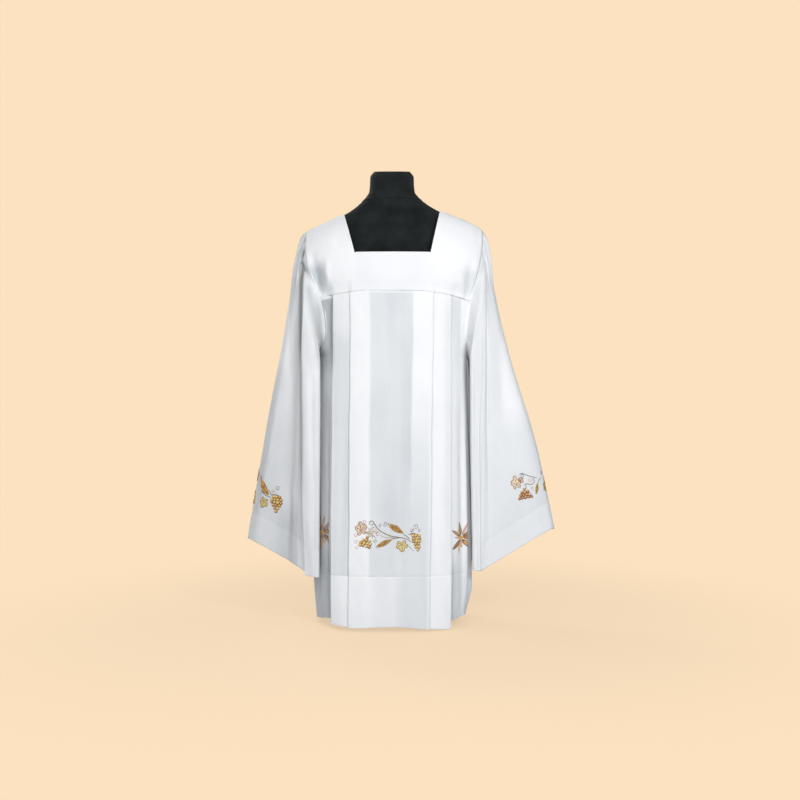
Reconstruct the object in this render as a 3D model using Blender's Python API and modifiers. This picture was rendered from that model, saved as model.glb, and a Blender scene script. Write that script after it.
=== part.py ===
"""A surplice on a limbless dress form.

Metres, +Z up. The front faces -Y. The origin is on the floor, at the middle of the
stand's base. The garment is a square yoke front and back, a body hanging from it in
stacked box pleats, and two bell sleeves set in the armholes. Left and right are the
wearer's: the left sleeve is at +X.

Every cloth piece is an open surface, at the middle of the cloth, thickened with Solidify.
"""

import math
from collections import namedtuple

import bpy
from mathutils import Vector

# ------------------------------------------------------------------ driving sizes
CLOTH = 0.0010          # thickness of a cloth wall
GAP = 0.0003            # gap between sewn pieces
RIDGE_GAP = 0.0004      # half the gap at the shoulder and side seams

SEAM_Z = 0.823          # yoke seam at the middle
SEAM_DROOP = 4.43       # how the yoke seam falls away towards the armholes
SEAM_POWER = 3.2
UNDERARM_Z = 0.668
HEM_Z = 0.018

FRONT_NECK_Z = 0.9135   # bottom of the square neckline, front
BACK_NECK_Z = 0.965     # and back
NECK_HALF_LOW = 0.0905  # half width of the neckline at its bottom
NECK_HALF_TOP = 0.1195  # and at the shoulder seam
NECK_SHIFT = 0.0025     # the neckline sits a little to the left

PLEAT_STEP_TOP = 0.00190  # depth of one folded layer at the yoke seam
PLEAT_STEP_HEM = 0.00260  # and at the hem

SINK = 0.013            # heights in the tables start this far under the floor

FORM_LEAN = 0.033       # the form's left shoulder stands higher than its right
FORM_BOTTOM = 0.250
BASE_RADIUS = 0.085
BASE_HEIGHT = 0.014
POST_RADIUS = 0.0125

# ------------------------------------------------------------------ tables
# Outline of the hanging body, seen from above, at a few heights.
Outline = namedtuple("Outline", "z half_width front_depth back_depth corner")
BODY_OUTLINE = (
    Outline(0.000, 0.186, 0.1500, 0.1460, 3.1),
    Outline(0.120, 0.195, 0.1500, 0.1455, 3.2),
    Outline(0.350, 0.192, 0.1450, 0.1390, 3.3),
    Outline(0.560, 0.187, 0.1385, 0.1310, 3.1),
    Outline(0.668, 0.186, 0.1345, 0.1260, 2.9),
    Outline(0.740, 0.196, 0.1325, 0.1225, 2.5),
    Outline(0.830, 0.216, 0.1310, 0.1180, 2.4),
)

# Shoulder line of the yoke, from the neck outwards.
Shoulder = namedtuple("Shoulder", "out right left")
SHOULDER_LINE = (
    Shoulder(0.000, 1.0600, 1.0640),
    Shoulder(0.060, 1.0480, 1.0530),
    Shoulder(0.120, 1.0235, 1.0315),
    Shoulder(0.160, 1.0055, 1.0165),
    Shoulder(0.200, 0.9870, 1.0000),
    Shoulder(0.228, 0.9740, 0.9820),
)

# Armhole on the yoke: distance out from the middle at each height.
Armhole = namedtuple("Armhole", "z right left")
YOKE_ARMHOLE = (
    Armhole(0.800, 0.1740, 0.1930),
    Armhole(0.850, 0.1940, 0.2050),
    Armhole(0.895, 0.2080, 0.2150),
    Armhole(0.940, 0.2110, 0.2220),
    Armhole(0.985, 0.2100, 0.2250),
)

# Armhole on the body: how far round from the side seam the cloth is cut away.
CutAway = namedtuple("CutAway", "z right left")
BODY_ARMHOLE = (
    CutAway(0.668, 0.000, 0.000),
    CutAway(0.677, 0.044, 0.027),
    CutAway(0.690, 0.074, 0.044),
    CutAway(0.712, 0.095, 0.058),
    CutAway(0.755, 0.101, 0.065),
    CutAway(0.830, 0.101, 0.076),
)

# Heights of the body's rows; the first is the hem, the last is the yoke seam.
BODY_ROWS = (HEM_Z, 0.140, 0.330, 0.520, 0.668, 0.677, 0.690, 0.712, 0.755, SEAM_Z)
UNDERARM_ROW = 4

# Folds of the front and back: where each edge lies, out from the middle, at the yoke seam
# and at the hem, and how far the cloth turns back under it.
Pleat = namedtuple("Pleat", "top hem under")
FRONT_PLEATS = {
    "right": (Pleat(0.0980, 0.1020, 0.0475), Pleat(0.1440, 0.1490, 0.0430)),
    "left": (Pleat(0.1000, 0.0892, 0.0475), Pleat(0.1455, 0.1445, 0.0430)),
}
BACK_PLEATS = {
    "right": (Pleat(0.0970, 0.0960, 0.0475), Pleat(0.1430, 0.1430, 0.0430)),
    "left": (Pleat(0.0970, 0.0980, 0.0475), Pleat(0.1430, 0.1450, 0.0430)),
}

# Hem height added at each distance out from the middle of the front.
HemLift = namedtuple("HemLift", "x lift")
FRONT_HEM = (
    HemLift(-0.200, 0.001),
    HemLift(-0.150, 0.006),
    HemLift(-0.100, 0.004),
    HemLift(0.000, 0.012),
    HemLift(0.089, 0.000),
    HemLift(0.145, -0.004),
    HemLift(0.200, 0.012),
)
BACK_HEM = (
    HemLift(-0.200, 0.001),
    HemLift(-0.100, 0.004),
    HemLift(0.000, 0.008),
    HemLift(0.100, 0.002),
    HemLift(0.200, 0.012),
)

# How far the side panels fall back behind the outer folds at the hem, how much higher
# their hem hangs, and how far the side is drawn in at the hem.
SidePanel = namedtuple("SidePanel", "recess lift tuck swell")
SIDE_PANELS = {
    ("front", "right"): SidePanel(0.013, 0.010, 0.000, 0.000),
    ("front", "left"): SidePanel(0.002, 0.020, 0.012, 0.010),
    ("back", "right"): SidePanel(0.010, 0.012, 0.000, 0.000),
    ("back", "left"): SidePanel(0.010, 0.014, 0.012, 0.000),
}

# Soft folds pressed into the hanging side panels: how far round from the side seam,
# how deep at the hem, and how wide.
Drape = namedtuple("Drape", "face side from_side depth width")
DRAPES = (
    Drape("front", "left", 0.062, 0.0060, 0.016),
    Drape("front", "left", 0.022, -0.0030, 0.014),
    Drape("front", "right", 0.045, 0.0045, 0.018),
    Drape("back", "left", 0.048, 0.0055, 0.018),
    Drape("back", "right", 0.054, 0.0050, 0.017),
)

# Hollows in the yoke near the armholes.
Hollow = namedtuple("Hollow", "face x z depth wide tall")
HOLLOWS = (
    Hollow("front", -0.178, 0.856, 0.0130, 0.015, 0.032),
    Hollow("front", 0.191, 0.852, 0.0080, 0.014, 0.030),
    Hollow("back", -0.182, 0.860, 0.0060, 0.020, 0.034),
    Hollow("back", 0.188, 0.862, 0.0055, 0.020, 0.034),
)

# The sleeves, a row for each section from the sleeve head to the cuff. x is out from
# the middle. "outer" is the fold along the top of the arm, "panel" the broad front,
# "groove" the valley behind the front fold, "ridge" that fold's crest, "lap" its inner
# edge and "inner" the middle of the cloth that hangs against the body.
Section = namedtuple(
    "Section",
    "outer_x outer_z panel_x panel_y panel_z groove_x groove_y groove_z "
    "ridge_x ridge_y ridge_z lap_x lap_y lap_z inner_x inner_z",
)
SLEEVE_SECTIONS = {
    "right": (
        Section(0.2240, 0.9650, 0.2215, -0.0450, 0.9150, 0.2140, -0.0780, 0.8680,
                0.2020, -0.0970, 0.7750, 0.1745, -0.1030, 0.6950, 0.1905, 0.6460),
        Section(0.2375, 0.9000, 0.2365, -0.0480, 0.8450, 0.2170, -0.0860, 0.7900,
                0.2075, -0.1050, 0.7250, 0.1710, -0.1120, 0.6550, 0.1960, 0.6160),
        Section(0.2555, 0.8000, 0.2580, -0.0500, 0.7220, 0.2190, -0.0920, 0.6600,
                0.2105, -0.1110, 0.6120, 0.1705, -0.1160, 0.5720, 0.2000, 0.5500),
        Section(0.2840, 0.6300, 0.2840, -0.0480, 0.5520, 0.2195, -0.0960, 0.4900,
                0.2110, -0.1150, 0.4600, 0.1720, -0.1190, 0.4400, 0.2030, 0.4300),
        Section(0.3180, 0.4400, 0.3140, -0.0410, 0.3720, 0.2185, -0.0990, 0.3160,
                0.2100, -0.1170, 0.3000, 0.1735, -0.1210, 0.2900, 0.2050, 0.2860),
        Section(0.3570, 0.2145, 0.3350, -0.0360, 0.2110, 0.2170, -0.1010, 0.1545,
                0.2060, -0.1160, 0.1420, 0.1735, -0.1200, 0.1380, 0.2060, 0.1420),
    ),
    "left": (
        Section(0.2335, 0.9630, 0.2305, -0.0470, 0.9150, 0.2240, -0.0750, 0.8680,
                0.2080, -0.0910, 0.7750, 0.1930, -0.0900, 0.6950, 0.1925, 0.6500),
        Section(0.2420, 0.9050, 0.2420, -0.0520, 0.8480, 0.2280, -0.0800, 0.7900,
                0.2120, -0.0940, 0.7250, 0.1895, -0.0930, 0.6600, 0.1975, 0.6220),
        Section(0.2610, 0.8000, 0.2635, -0.0560, 0.7220, 0.2300, -0.0830, 0.6600,
                0.2115, -0.0970, 0.6120, 0.1890, -0.0950, 0.5720, 0.2010, 0.5520),
        Section(0.3000, 0.6400, 0.2985, -0.0600, 0.5600, 0.2300, -0.0850, 0.4920,
                0.2105, -0.0990, 0.4620, 0.1895, -0.0950, 0.4400, 0.2040, 0.4320),
        Section(0.3540, 0.4550, 0.3480, -0.0620, 0.3850, 0.2310, -0.0870, 0.3180,
                0.2115, -0.1000, 0.3020, 0.1920, -0.0960, 0.2920, 0.2070, 0.2900),
        Section(0.4030, 0.2385, 0.3760, -0.0640, 0.2390, 0.2310, -0.0850, 0.1550,
                0.2125, -0.1000, 0.1500, 0.1950, -0.0960, 0.1500, 0.2085, 0.1520),
    ),
}
BACK_SHARE = 0.96       # the back of a sleeve is a little shallower than its front
BACK_GROOVE = 0.45      # and its valley is less deep
RINGS_BETWEEN = 1       # rings added between the sections above

# The dress form, a row for each section.
FormRow = namedtuple("FormRow", "z half_width front back corner")
FORM_ROWS = (
    FormRow(0.250, 0.150, 0.098, 0.100, 2.2),
    FormRow(0.256, 0.163, 0.109, 0.111, 2.2),
    FormRow(0.275, 0.169, 0.115, 0.117, 2.2),
    FormRow(0.390, 0.171, 0.116, 0.121, 2.2),
    FormRow(0.500, 0.160, 0.109, 0.113, 2.2),
    FormRow(0.610, 0.145, 0.104, 0.101, 2.2),
    FormRow(0.700, 0.149, 0.108, 0.100, 2.2),
    FormRow(0.780, 0.160, 0.114, 0.103, 2.2),
    FormRow(0.850, 0.171, 0.112, 0.104, 2.2),
    FormRow(0.905, 0.183, 0.102, 0.098, 2.25),
    FormRow(0.945, 0.194, 0.086, 0.085, 2.3),
    FormRow(0.975, 0.1985, 0.068, 0.070, 2.3),
    FormRow(0.990, 0.1900, 0.061, 0.063, 2.2),
    FormRow(1.007, 0.1600, 0.0585, 0.060, 2.1),
    FormRow(1.025, 0.1200, 0.0570, 0.058, 2.0),
    FormRow(1.045, 0.0880, 0.0565, 0.057, 2.0),
    FormRow(1.066, 0.0655, 0.0565, 0.057, 2.0),
    FormRow(1.078, 0.0575, 0.0555, 0.056, 2.0),
    FormRow(1.095, 0.0550, 0.0550, 0.055, 2.0),
    FormRow(1.1120, 0.0545, 0.0545, 0.0545, 2.0),
    FormRow(1.1140, 0.0540, 0.0540, 0.0540, 2.0),
    FormRow(1.1255, 0.0455, 0.0455, 0.0455, 2.0),
    FormRow(1.1265, 0.0445, 0.0445, 0.0445, 2.0),
)
CAP_SLANT = 0.20        # the neck's cap slopes down to the front
FORM_SEGMENTS = 36


# ------------------------------------------------------------------ small tools
def read_table(rows, key, column, at):
    """A smooth curve through one column of a table, read at a value of its key column."""
    xs = [getattr(r, key) for r in rows]
    ys = [getattr(r, column) for r in rows]
    if at <= xs[0]:
        return ys[0]
    if at >= xs[-1]:
        return ys[-1]
    i = max(j for j in range(len(xs) - 1) if xs[j] <= at)
    slope = [(ys[j + 1] - ys[j]) / (xs[j + 1] - xs[j]) for j in range(len(xs) - 1)]

    def tangent(j):
        if j == 0 or j == len(xs) - 1:
            return slope[0] if j == 0 else slope[-1]
        a, b = slope[j - 1], slope[j]
        return 0.0 if a * b <= 0 else 2 * a * b / (a + b)

    h = xs[i + 1] - xs[i]
    t = (at - xs[i]) / h
    return (
        ys[i] * (2 * t**3 - 3 * t**2 + 1)
        + tangent(i) * h * (t**3 - 2 * t**2 + t)
        + ys[i + 1] * (3 * t**2 - 2 * t**3)
        + tangent(i + 1) * h * (t**3 - t**2)
    )


def mix(a, b, t):
    return a + (b - a) * t


def ease(t):
    t = min(max(t, 0.0), 1.0)
    return t * t * (3 - 2 * t)


def bump(distance, width):
    return math.exp(-((distance / width) ** 2))


def catmull(p0, p1, p2, p3, t):
    """A point on the curve between p1 and p2."""
    return 0.5 * (
        2 * p1
        + (p2 - p0) * t
        + (2 * p0 - 5 * p1 + 4 * p2 - p3) * t * t
        + (3 * p1 - p0 - 3 * p2 + p3) * t**3
    )


def side_name(x):
    return "left" if x > 0 else "right"


def make_material(name, colour, roughness, metallic=0.0):
    material = bpy.data.materials.new(name)
    material.use_nodes = True
    shader = material.node_tree.nodes["Principled BSDF"]
    shader.inputs["Base Color"].default_value = (*colour, 1.0)
    shader.inputs["Roughness"].default_value = roughness
    shader.inputs["Metallic"].default_value = metallic
    return material


def make_mesh_object(name, points, faces, material, collection):
    mesh = bpy.data.meshes.new(name)
    mesh.from_pydata([tuple(p) for p in points], [], faces)
    mesh.materials.append(material)
    mesh.shade_smooth()
    obj = bpy.data.objects.new(name, mesh)
    obj.location.z = -SINK
    collection.objects.link(obj)
    return obj


def thicken(obj):
    wall = obj.modifiers.new("wall", "SOLIDIFY")
    wall.thickness = CLOTH
    wall.offset = 0.0
    wall.use_even_offset = True
    wall.use_rim = True
    return obj


# ------------------------------------------------------------------ the body's outline
_outline_cache = {}


def outline(z, face):
    """Half width, depth and corner of the body's outline at a height."""
    column = "front_depth" if face == "front" else "back_depth"
    return (
        read_table(BODY_OUTLINE, "z", "half_width", z),
        read_table(BODY_OUTLINE, "z", column, z),
        read_table(BODY_OUTLINE, "z", "corner", z),
    )


def outline_steps(z, face):
    """The quarter outline from the middle to the side seam: x, depth and length so far."""
    key = (round(z, 5), face)
    if key not in _outline_cache:
        a, b, n = outline(z, face)
        steps = []
        length = 0.0
        last = None
        for i in range(361):
            angle = math.pi / 2 * i / 360
            x = a * math.sin(angle) ** (2 / n)
            y = b * max(math.cos(angle), 0.0) ** (2 / n)
            if last:
                length += math.hypot(x - last[0], y - last[1])
            last = (x, y)
            steps.append((x, y, length))
        _outline_cache[key] = steps
    return _outline_cache[key]


def arc_at_x(z, face, x):
    """How far round from the middle the outline reaches a distance out."""
    steps = outline_steps(z, face)
    for (x0, _, s0), (x1, _, s1) in zip(steps, steps[1:]):
        if x <= x1:
            return mix(s0, s1, (x - x0) / max(x1 - x0, 1e-9))
    return steps[-1][2]


def outline_point(z, face, side, s, inset):
    """The outline's point s round from the middle, moved in by inset."""
    steps = outline_steps(z, face)
    s = min(max(s, 0.0), steps[-1][2])
    x, y = steps[-1][0], 0.0
    for (x0, y0, s0), (x1, y1, s1) in zip(steps, steps[1:]):
        if s <= s1:
            t = (s - s0) / max(s1 - s0, 1e-9)
            x, y = mix(x0, x1, t), mix(y0, y1, t)
            break
    a, b, n = outline(z, face)
    nx, ny = x ** (n - 1) / a**n, y ** (n - 1) / b**n
    size = math.hypot(nx, ny)
    x -= inset * nx / size
    y -= inset * ny / size
    out = 1.0 if side == "left" else -1.0
    forward = -1.0 if face == "front" else 1.0
    return Vector((out * x, forward * y, z))


def seam_z(x):
    """Height of the seam between the yoke and the body."""
    return SEAM_Z - SEAM_DROOP * abs(x) ** SEAM_POWER


# ------------------------------------------------------------------ the pleated body
def pleat_path(z, face, side, share):
    """One half of a body row, from the middle to the side: distance round, how far in, and
    how much of the side panel's fall each point has.

    share is 0 at the hem and 1 at the yoke seam.
    """
    table = FRONT_PLEATS if face == "front" else BACK_PLEATS
    step = mix(PLEAT_STEP_HEM, PLEAT_STEP_TOP, share)
    r = step / 2
    inner, outer = table[side]
    end = outline_steps(z, face)[-1][2] - cut_away(z, side)
    fold_a = arc_at_x(z, face, mix(inner.hem, inner.top, share))
    fold_b = arc_at_x(z, face, mix(outer.hem, outer.top, share))
    back_a = fold_a - inner.under
    back_b = fold_b - outer.under

    def turn(at, layer, way):
        return [
            (at - way * r, layer),
            (at - way * r * 0.134, layer + 0.25),
            (at - way * r * 0.134, layer + 0.75),
            (at - way * r, layer + 1),
        ]

    mid_a, mid_b = mix(back_a, fold_a, 0.5), mix(back_b, fold_b, 0.5)
    path = [(0.0, 0.0), (back_a * 0.5, 0.0), (back_a, 0.0), (mid_a, 0.0)]
    path += turn(fold_a, 0, 1) + [(mid_a, 1.0)]
    path += turn(back_a, 1, -1) + [(mid_a, 2.0), (fold_a, 2.0), (mid_b, 2.0)]
    path += turn(fold_b, 2, 1) + [(mid_b, 3.0)]
    path += turn(back_b, 3, -1)
    path = [(s, layer, 0.0) for s, layer in path]
    path += [(mid_b, 4.0, 0.4), (fold_b, 4.0, 0.85)]
    for t, fall in ((1 / 3, 1.0), (2 / 3, 0.45), (1.0, 0.0)):
        path.append((mix(fold_b, end, t), 4.0 * (1 - ease(t)), fall))
    return [(s, layer * step, fall) for s, layer, fall in path], end


def cut_away(z, side):
    return read_table(BODY_ARMHOLE, "z", side, z)


def drape_inset(face, side, from_side, share):
    """The soft folds in the side panels, deepest at the hem."""
    total = 0.0
    for d in DRAPES:
        if d.face == face and d.side == side:
            total += d.depth * bump(from_side - d.from_side, d.width)
    return total * (1 - share) ** 1.2


def body_height(row, x, face):
    """Height of a body row at a distance out: level, but for the hem and the yoke seam."""
    nominal = BODY_ROWS[row]
    if row == 0:
        table = FRONT_HEM if face == "front" else BACK_HEM
        return nominal + read_table(table, "x", "lift", x)
    if nominal <= UNDERARM_Z:
        return nominal
    share = (nominal - UNDERARM_Z) / (SEAM_Z - UNDERARM_Z)
    z = nominal + (seam_z(x) - SEAM_Z) * share
    return z - GAP if row == len(BODY_ROWS) - 1 else z


def body_row(row, face):
    """All the points of one row of a body piece, from the right side to the left."""
    nominal = BODY_ROWS[row]
    share = (nominal - HEM_Z) / (SEAM_Z - HEM_Z)
    halves = {}
    for side in ("right", "left"):
        out = 1.0 if side == "left" else -1.0
        # The seam falls at the armhole, so its outline is read a little lower there.
        path, end = pleat_path(nominal, face, side, share)
        panel = SIDE_PANELS[face, side]
        points = []
        for s, inset, fall in path:
            flat = outline_point(nominal, face, side, s, 0.0)
            z = body_height(row, flat.x, face)
            if row == 0:
                z += panel.lift * fall
            full = outline_steps(z, face)[-1][2]
            here = min(s, full - cut_away(z, side)) if s > end - 1e-6 else s
            if s > end - 1e-6:
                here = full - cut_away(z, side)
            if here >= full - 1e-6:
                here = full - RIDGE_GAP
            from_side = full - here
            extra = panel.recess * fall * ease((1 - share) / 0.5)
            if s > path[-4][0] + 1e-6:
                extra -= panel.swell * fall * ease((1 - share) / 0.5)
            if row == 0:
                extra += panel.tuck * ease((s - path[-4][0]) / (end - path[-4][0]))
            if s > path[-4][0] + 1e-6:
                extra += drape_inset(face, side, from_side, share)
            point = outline_point(z, face, side, here, CLOTH / 2 + inset + extra)
            points.append(point)
        halves[side] = points
    return halves["right"][:0:-1] + halves["left"]


def build_body(face, material, collection):
    name = "front_body" if face == "front" else "back_body"
    rows = [body_row(r, face) for r in range(len(BODY_ROWS))]
    count = len(rows[0])
    points = [p for row in rows for p in row]
    faces = []
    for r in range(len(rows) - 1):
        for c in range(count - 1):
            a, b = r * count + c, r * count + c + 1
            quad = (a, b, b + count, a + count)
            faces.append(quad if face == "front" else quad[::-1])
    obj = thicken(make_mesh_object(name, points, faces, material, collection))
    return obj, rows


# ------------------------------------------------------------------ the yoke
STRAP_SHARES = (1.0, 0.972, 0.915, 0.83, 0.71, 0.56)  # rows from the shoulder to the neckline
BAND_ROWS = 4
STRAP_COLUMNS = 7
MIDDLE_COLUMNS = 8


def shoulder_z(x):
    return read_table(SHOULDER_LINE, "out", side_name(x), abs(x))


def hollow(face, x, z):
    return sum(
        h.depth * bump(x - h.x, h.wide) * bump(z - h.z, h.tall)
        for h in HOLLOWS
        if h.face == face
    )


def yoke_point(face, x, share):
    """The yoke's surface: share is 0 at the body seam and 1 on the shoulder line."""
    low = seam_z(x)
    z = mix(low, shoulder_z(x), share)
    a, b, n = outline(min(low, z), face)
    spread = ease(share / 0.42)
    a = mix(a, 0.262, spread)
    n = mix(n, 2.4, spread)
    b *= math.sqrt(max(1 - share**2.5, 0.0))
    y = b * max(1 - (abs(x) / a) ** n, 0.0) ** (1 / n)
    y = max(y - hollow(face, x, z) - CLOTH / 2, RIDGE_GAP)
    return Vector((x, -y if face == "front" else y, z - CLOTH / 2 * share))


def neck_share(face, x):
    """Share at which the neckline's bottom edge lies."""
    level = FRONT_NECK_Z if face == "front" else BACK_NECK_Z
    low = seam_z(x)
    return (level - low) / (shoulder_z(x) - low)


def armhole_x(side, z):
    return read_table(YOKE_ARMHOLE, "z", side, z)


def yoke_rows(face, body_corner):
    """Rows of the yoke from the shoulder seam down. Each is one or two runs of points.

    body_corner gives, for each side, how far out the body's top row ends.
    """
    rows = []
    edge_share = neck_share(face, NECK_HALF_LOW)
    total = len(STRAP_SHARES) + BAND_ROWS + 1

    def outer_x(side, share):
        out = 1.0 if side == "left" else -1.0
        x = body_corner[side]
        for _ in range(6):
            z = mix(seam_z(x), shoulder_z(out * x), share)
            table_x = armhole_x(side, z)
            start = armhole_x(side, seam_z(body_corner[side]))
            x = table_x + (body_corner[side] - start) * (1 - ease(share / 0.5))
        return out * x

    def inner_x(side, t):
        out = 1.0 if side == "left" else -1.0
        return out * mix(NECK_HALF_LOW, NECK_HALF_TOP, t) + NECK_SHIFT * (1 - t)

    for k in range(total):
        strap = k <= len(STRAP_SHARES)
        if k < len(STRAP_SHARES):
            # spread the shares between the shoulder and the neckline's bottom
            t = (STRAP_SHARES[k] - 0.40) / 0.60
            share = mix(edge_share, 1.0, t)
        else:
            t = 0.0
            share = edge_share * (total - 1 - k) / BAND_ROWS
        runs = []
        for side in ("right", "left"):
            a, b = outer_x(side, share), inner_x(side, t)
            columns = [mix(a, b, c / STRAP_COLUMNS) for c in range(STRAP_COLUMNS + 1)]
            runs.append([yoke_point(face, x, share) for x in columns])
        runs[1].reverse()
        middle = []
        if k >= len(STRAP_SHARES):
            a, b = inner_x("right", 0.0), inner_x("left", 0.0)
            for c in range(1, MIDDLE_COLUMNS):
                x = mix(a, b, c / MIDDLE_COLUMNS)
                here = neck_share(face, x) if face == "front" else edge_share
                level = here * (total - 1 - k) / BAND_ROWS
                middle.append(yoke_point(face, x, level))
        rows.append((runs[0], middle, runs[1], strap))
    return rows


def build_yoke(face, body_corner, material, collection):
    rows = yoke_rows(face, body_corner)
    points, index, faces = [], [], []
    for right, middle, left, _ in rows:
        ids = []
        for run in (right, middle, left):
            start = len(points)
            points.extend(run)
            ids.append(list(range(start, start + len(run))))
        index.append(ids)

    def join(upper, lower):
        for c in range(len(upper) - 1):
            quad = (lower[c], lower[c + 1], upper[c + 1], upper[c])
            faces.append(quad if face == "front" else quad[::-1])

    for k in range(len(rows) - 1):
        a, b = index[k], index[k + 1]
        if k < len(STRAP_SHARES):
            join(a[0], b[0])
            join(a[2], b[2])
        else:
            join(a[0] + a[1] + a[2], b[0] + b[1] + b[2])
    name = "yoke_front" if face == "front" else "yoke_back"
    obj = thicken(make_mesh_object(name, points, faces, material, collection))
    return obj, rows


# ------------------------------------------------------------------ the sleeves
SEGMENTS = (3, 4, 3, 2, 3)  # steps between outer, panel, groove, ridge, lap and inner


def armhole_ring(side, yokes, bodies):
    """The edge that a sleeve is sewn to, from the shoulder down the front and up the back.

    Each point comes with the outward normal of the piece there.
    """
    ring = []
    for face in ("front", "back"):
        rows = yokes[face]
        edge = []
        for k, (right, _, left, _) in enumerate(rows):
            run = right if side == "right" else left[::-1]
            edge.append((run[0], run[1]))
        body = bodies[face]
        for row in reversed(body[UNDERARM_ROW:-1]):
            run = row if side == "right" else row[::-1]
            edge.append((run[0], run[1]))
        ring.append(edge)
    front, back = ring
    points = [p for p, _ in front] + [p for p, _ in back[-2:0:-1]]
    inward = [q for _, q in front] + [q for _, q in back[-2:0:-1]]
    points[0] = (front[0][0] + back[0][0]) / 2
    points[len(front) - 1] = (front[-1][0] + back[-1][0]) / 2
    count = len(points)
    normals = []
    for i in range(count):
        along = points[(i + 1) % count] - points[i - 1]
        across = points[i] - inward[i]
        if i == 0:
            across = Vector((1 if side == "left" else -1, 0, -0.45))
        if i == len(front) - 1:
            across = Vector((0, 0, 1))
        normal = across.cross(along).normalized()
        centre = Vector((0, 0, points[i].z - 0.05))
        if normal.dot(points[i] - centre) < 0:
            normal.negate()
        normals.append(normal)
    return points, normals


def section_keys(s, side):
    """The twelve or so points that shape one section, from the outer fold round the front."""
    out = 1.0 if side == "left" else -1.0
    front = [
        Vector((s.outer_x, 0.0, s.outer_z)),
        Vector((s.panel_x, s.panel_y, s.panel_z)),
        Vector((s.groove_x, s.groove_y, s.groove_z)),
        Vector((s.ridge_x, s.ridge_y, s.ridge_z)),
        Vector((s.lap_x, s.lap_y, s.lap_z)),
        Vector((s.inner_x, 0.0, s.inner_z)),
    ]
    back = []
    for i, p in enumerate(front[1:5]):
        q = Vector((p.x, -p.y * BACK_SHARE, p.z))
        if i == 1:
            full = (s.panel_y + s.ridge_y) / 2
            q.y = -BACK_SHARE * mix(full, s.groove_y, BACK_GROOVE)
        back.append(q)
    keys = front + back[::-1]
    return [Vector((out * p.x, p.y, p.z)) for p in keys]


def section_ring(keys):
    """A closed smooth curve through the keys, with the steps that every ring shares."""
    steps = SEGMENTS + SEGMENTS[::-1]
    n = len(keys)
    ring = []
    for i in range(n):
        for k in range(steps[i]):
            ring.append(
                catmull(keys[i - 1], keys[i], keys[(i + 1) % n], keys[(i + 2) % n], k / steps[i])
            )
    return ring


def clear_of_body(p, side):
    """Moves a point out where it would touch the hanging body."""
    if p.z > UNDERARM_Z + 0.02:
        return p
    face = "front" if p.y < 0 else "back"
    a, b, n = outline(max(p.z, 0.0), face)
    y = min(abs(p.y) / b, 1.0)
    reach = a * (1 - y**n) ** (1 / n)
    need = reach + 0.0045 * ease((UNDERARM_Z - p.z) / 0.03) + 0.0012
    if y < 0.86 and abs(p.x) < need:
        p.x = math.copysign(need, p.x)
    return p


def build_sleeve(side, yokes, bodies, material, collection):
    edge, normals = armhole_ring(side, yokes, bodies)
    sections = [section_ring(section_keys(s, side)) for s in SLEEVE_SECTIONS[side]]
    count = len(edge)
    rings = []
    levels = [edge] + sections
    for i in range(len(levels) - 1):
        for k in range(RINGS_BETWEEN + 1):
            if i == 0 and k > 0:
                continue
            t = k / (RINGS_BETWEEN + 1)
            before = levels[max(i - 1, 0)]
            after = levels[min(i + 2, len(levels) - 1)]
            rings.append(
                [
                    catmull(before[j], levels[i][j], levels[i + 1][j], after[j], t)
                    for j in range(count)
                ]
            )
    rings.append(list(levels[-1]))
    for ring in rings[1:]:
        for p in ring:
            clear_of_body(p, side)
    # the sewn end starts a gap away from the pieces it is sewn to
    start = []
    for j in range(count):
        p, n = edge[j], normals[j]
        along = (edge[(j + 1) % count] - edge[j - 1]).normalized()
        over = n.cross(along) * (1 if side == "left" else -1)
        away = (rings[1][j] - p).normalized()
        sine = math.sqrt(max(1 - over.dot(away) ** 2, 0.0))
        rise = max(n.dot(away), 0.0) * 2 * GAP
        if over.dot(away) >= 0:
            start.append(p + away * (GAP + CLOTH / 2 * sine) + n * rise)
        else:
            start.append(p + n * (GAP + CLOTH / 2 * (1 - over.dot(away)) + rise))
    rings[0] = start
    points = [p for ring in rings for p in ring]
    faces = []
    for r in range(len(rings) - 1):
        for j in range(count):
            a, b = r * count + j, r * count + (j + 1) % count
            quad = (a, a + count, b + count, b)
            faces.append(quad if side == "left" else quad[::-1])
    return thicken(make_mesh_object("sleeve_" + side, points, faces, material, collection))


# ------------------------------------------------------------------ the dress form
def build_form(material, collection):
    points, faces = [], []
    n = FORM_SEGMENTS
    for row in FORM_ROWS:
        lean = FORM_LEAN * ease((row.z - 0.75) / 0.2) * (1 - ease((row.z - 1.03) / 0.06))
        for i in range(n):
            angle = 2 * math.pi * i / n
            c, s = math.cos(angle), math.sin(angle)
            x = math.copysign(abs(c) ** (2 / row.corner), c) * row.half_width
            depth = row.back if s > 0 else row.front
            y = math.copysign(abs(s) ** (2 / row.corner), s) * depth
            slant = CAP_SLANT * y * ease((row.z - 1.094) / 0.018)
            points.append((x, y, row.z + lean * x + slant))
    for r in range(len(FORM_ROWS) - 1):
        for i in range(n):
            a, b = r * n + i, r * n + (i + 1) % n
            faces.append((a, b, b + n, a + n))
    faces.append(tuple(reversed(range(n))))
    faces.append(tuple(range((len(FORM_ROWS) - 1) * n, len(FORM_ROWS) * n)))
    return make_mesh_object("form_torso", points, faces, material, collection)


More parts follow.
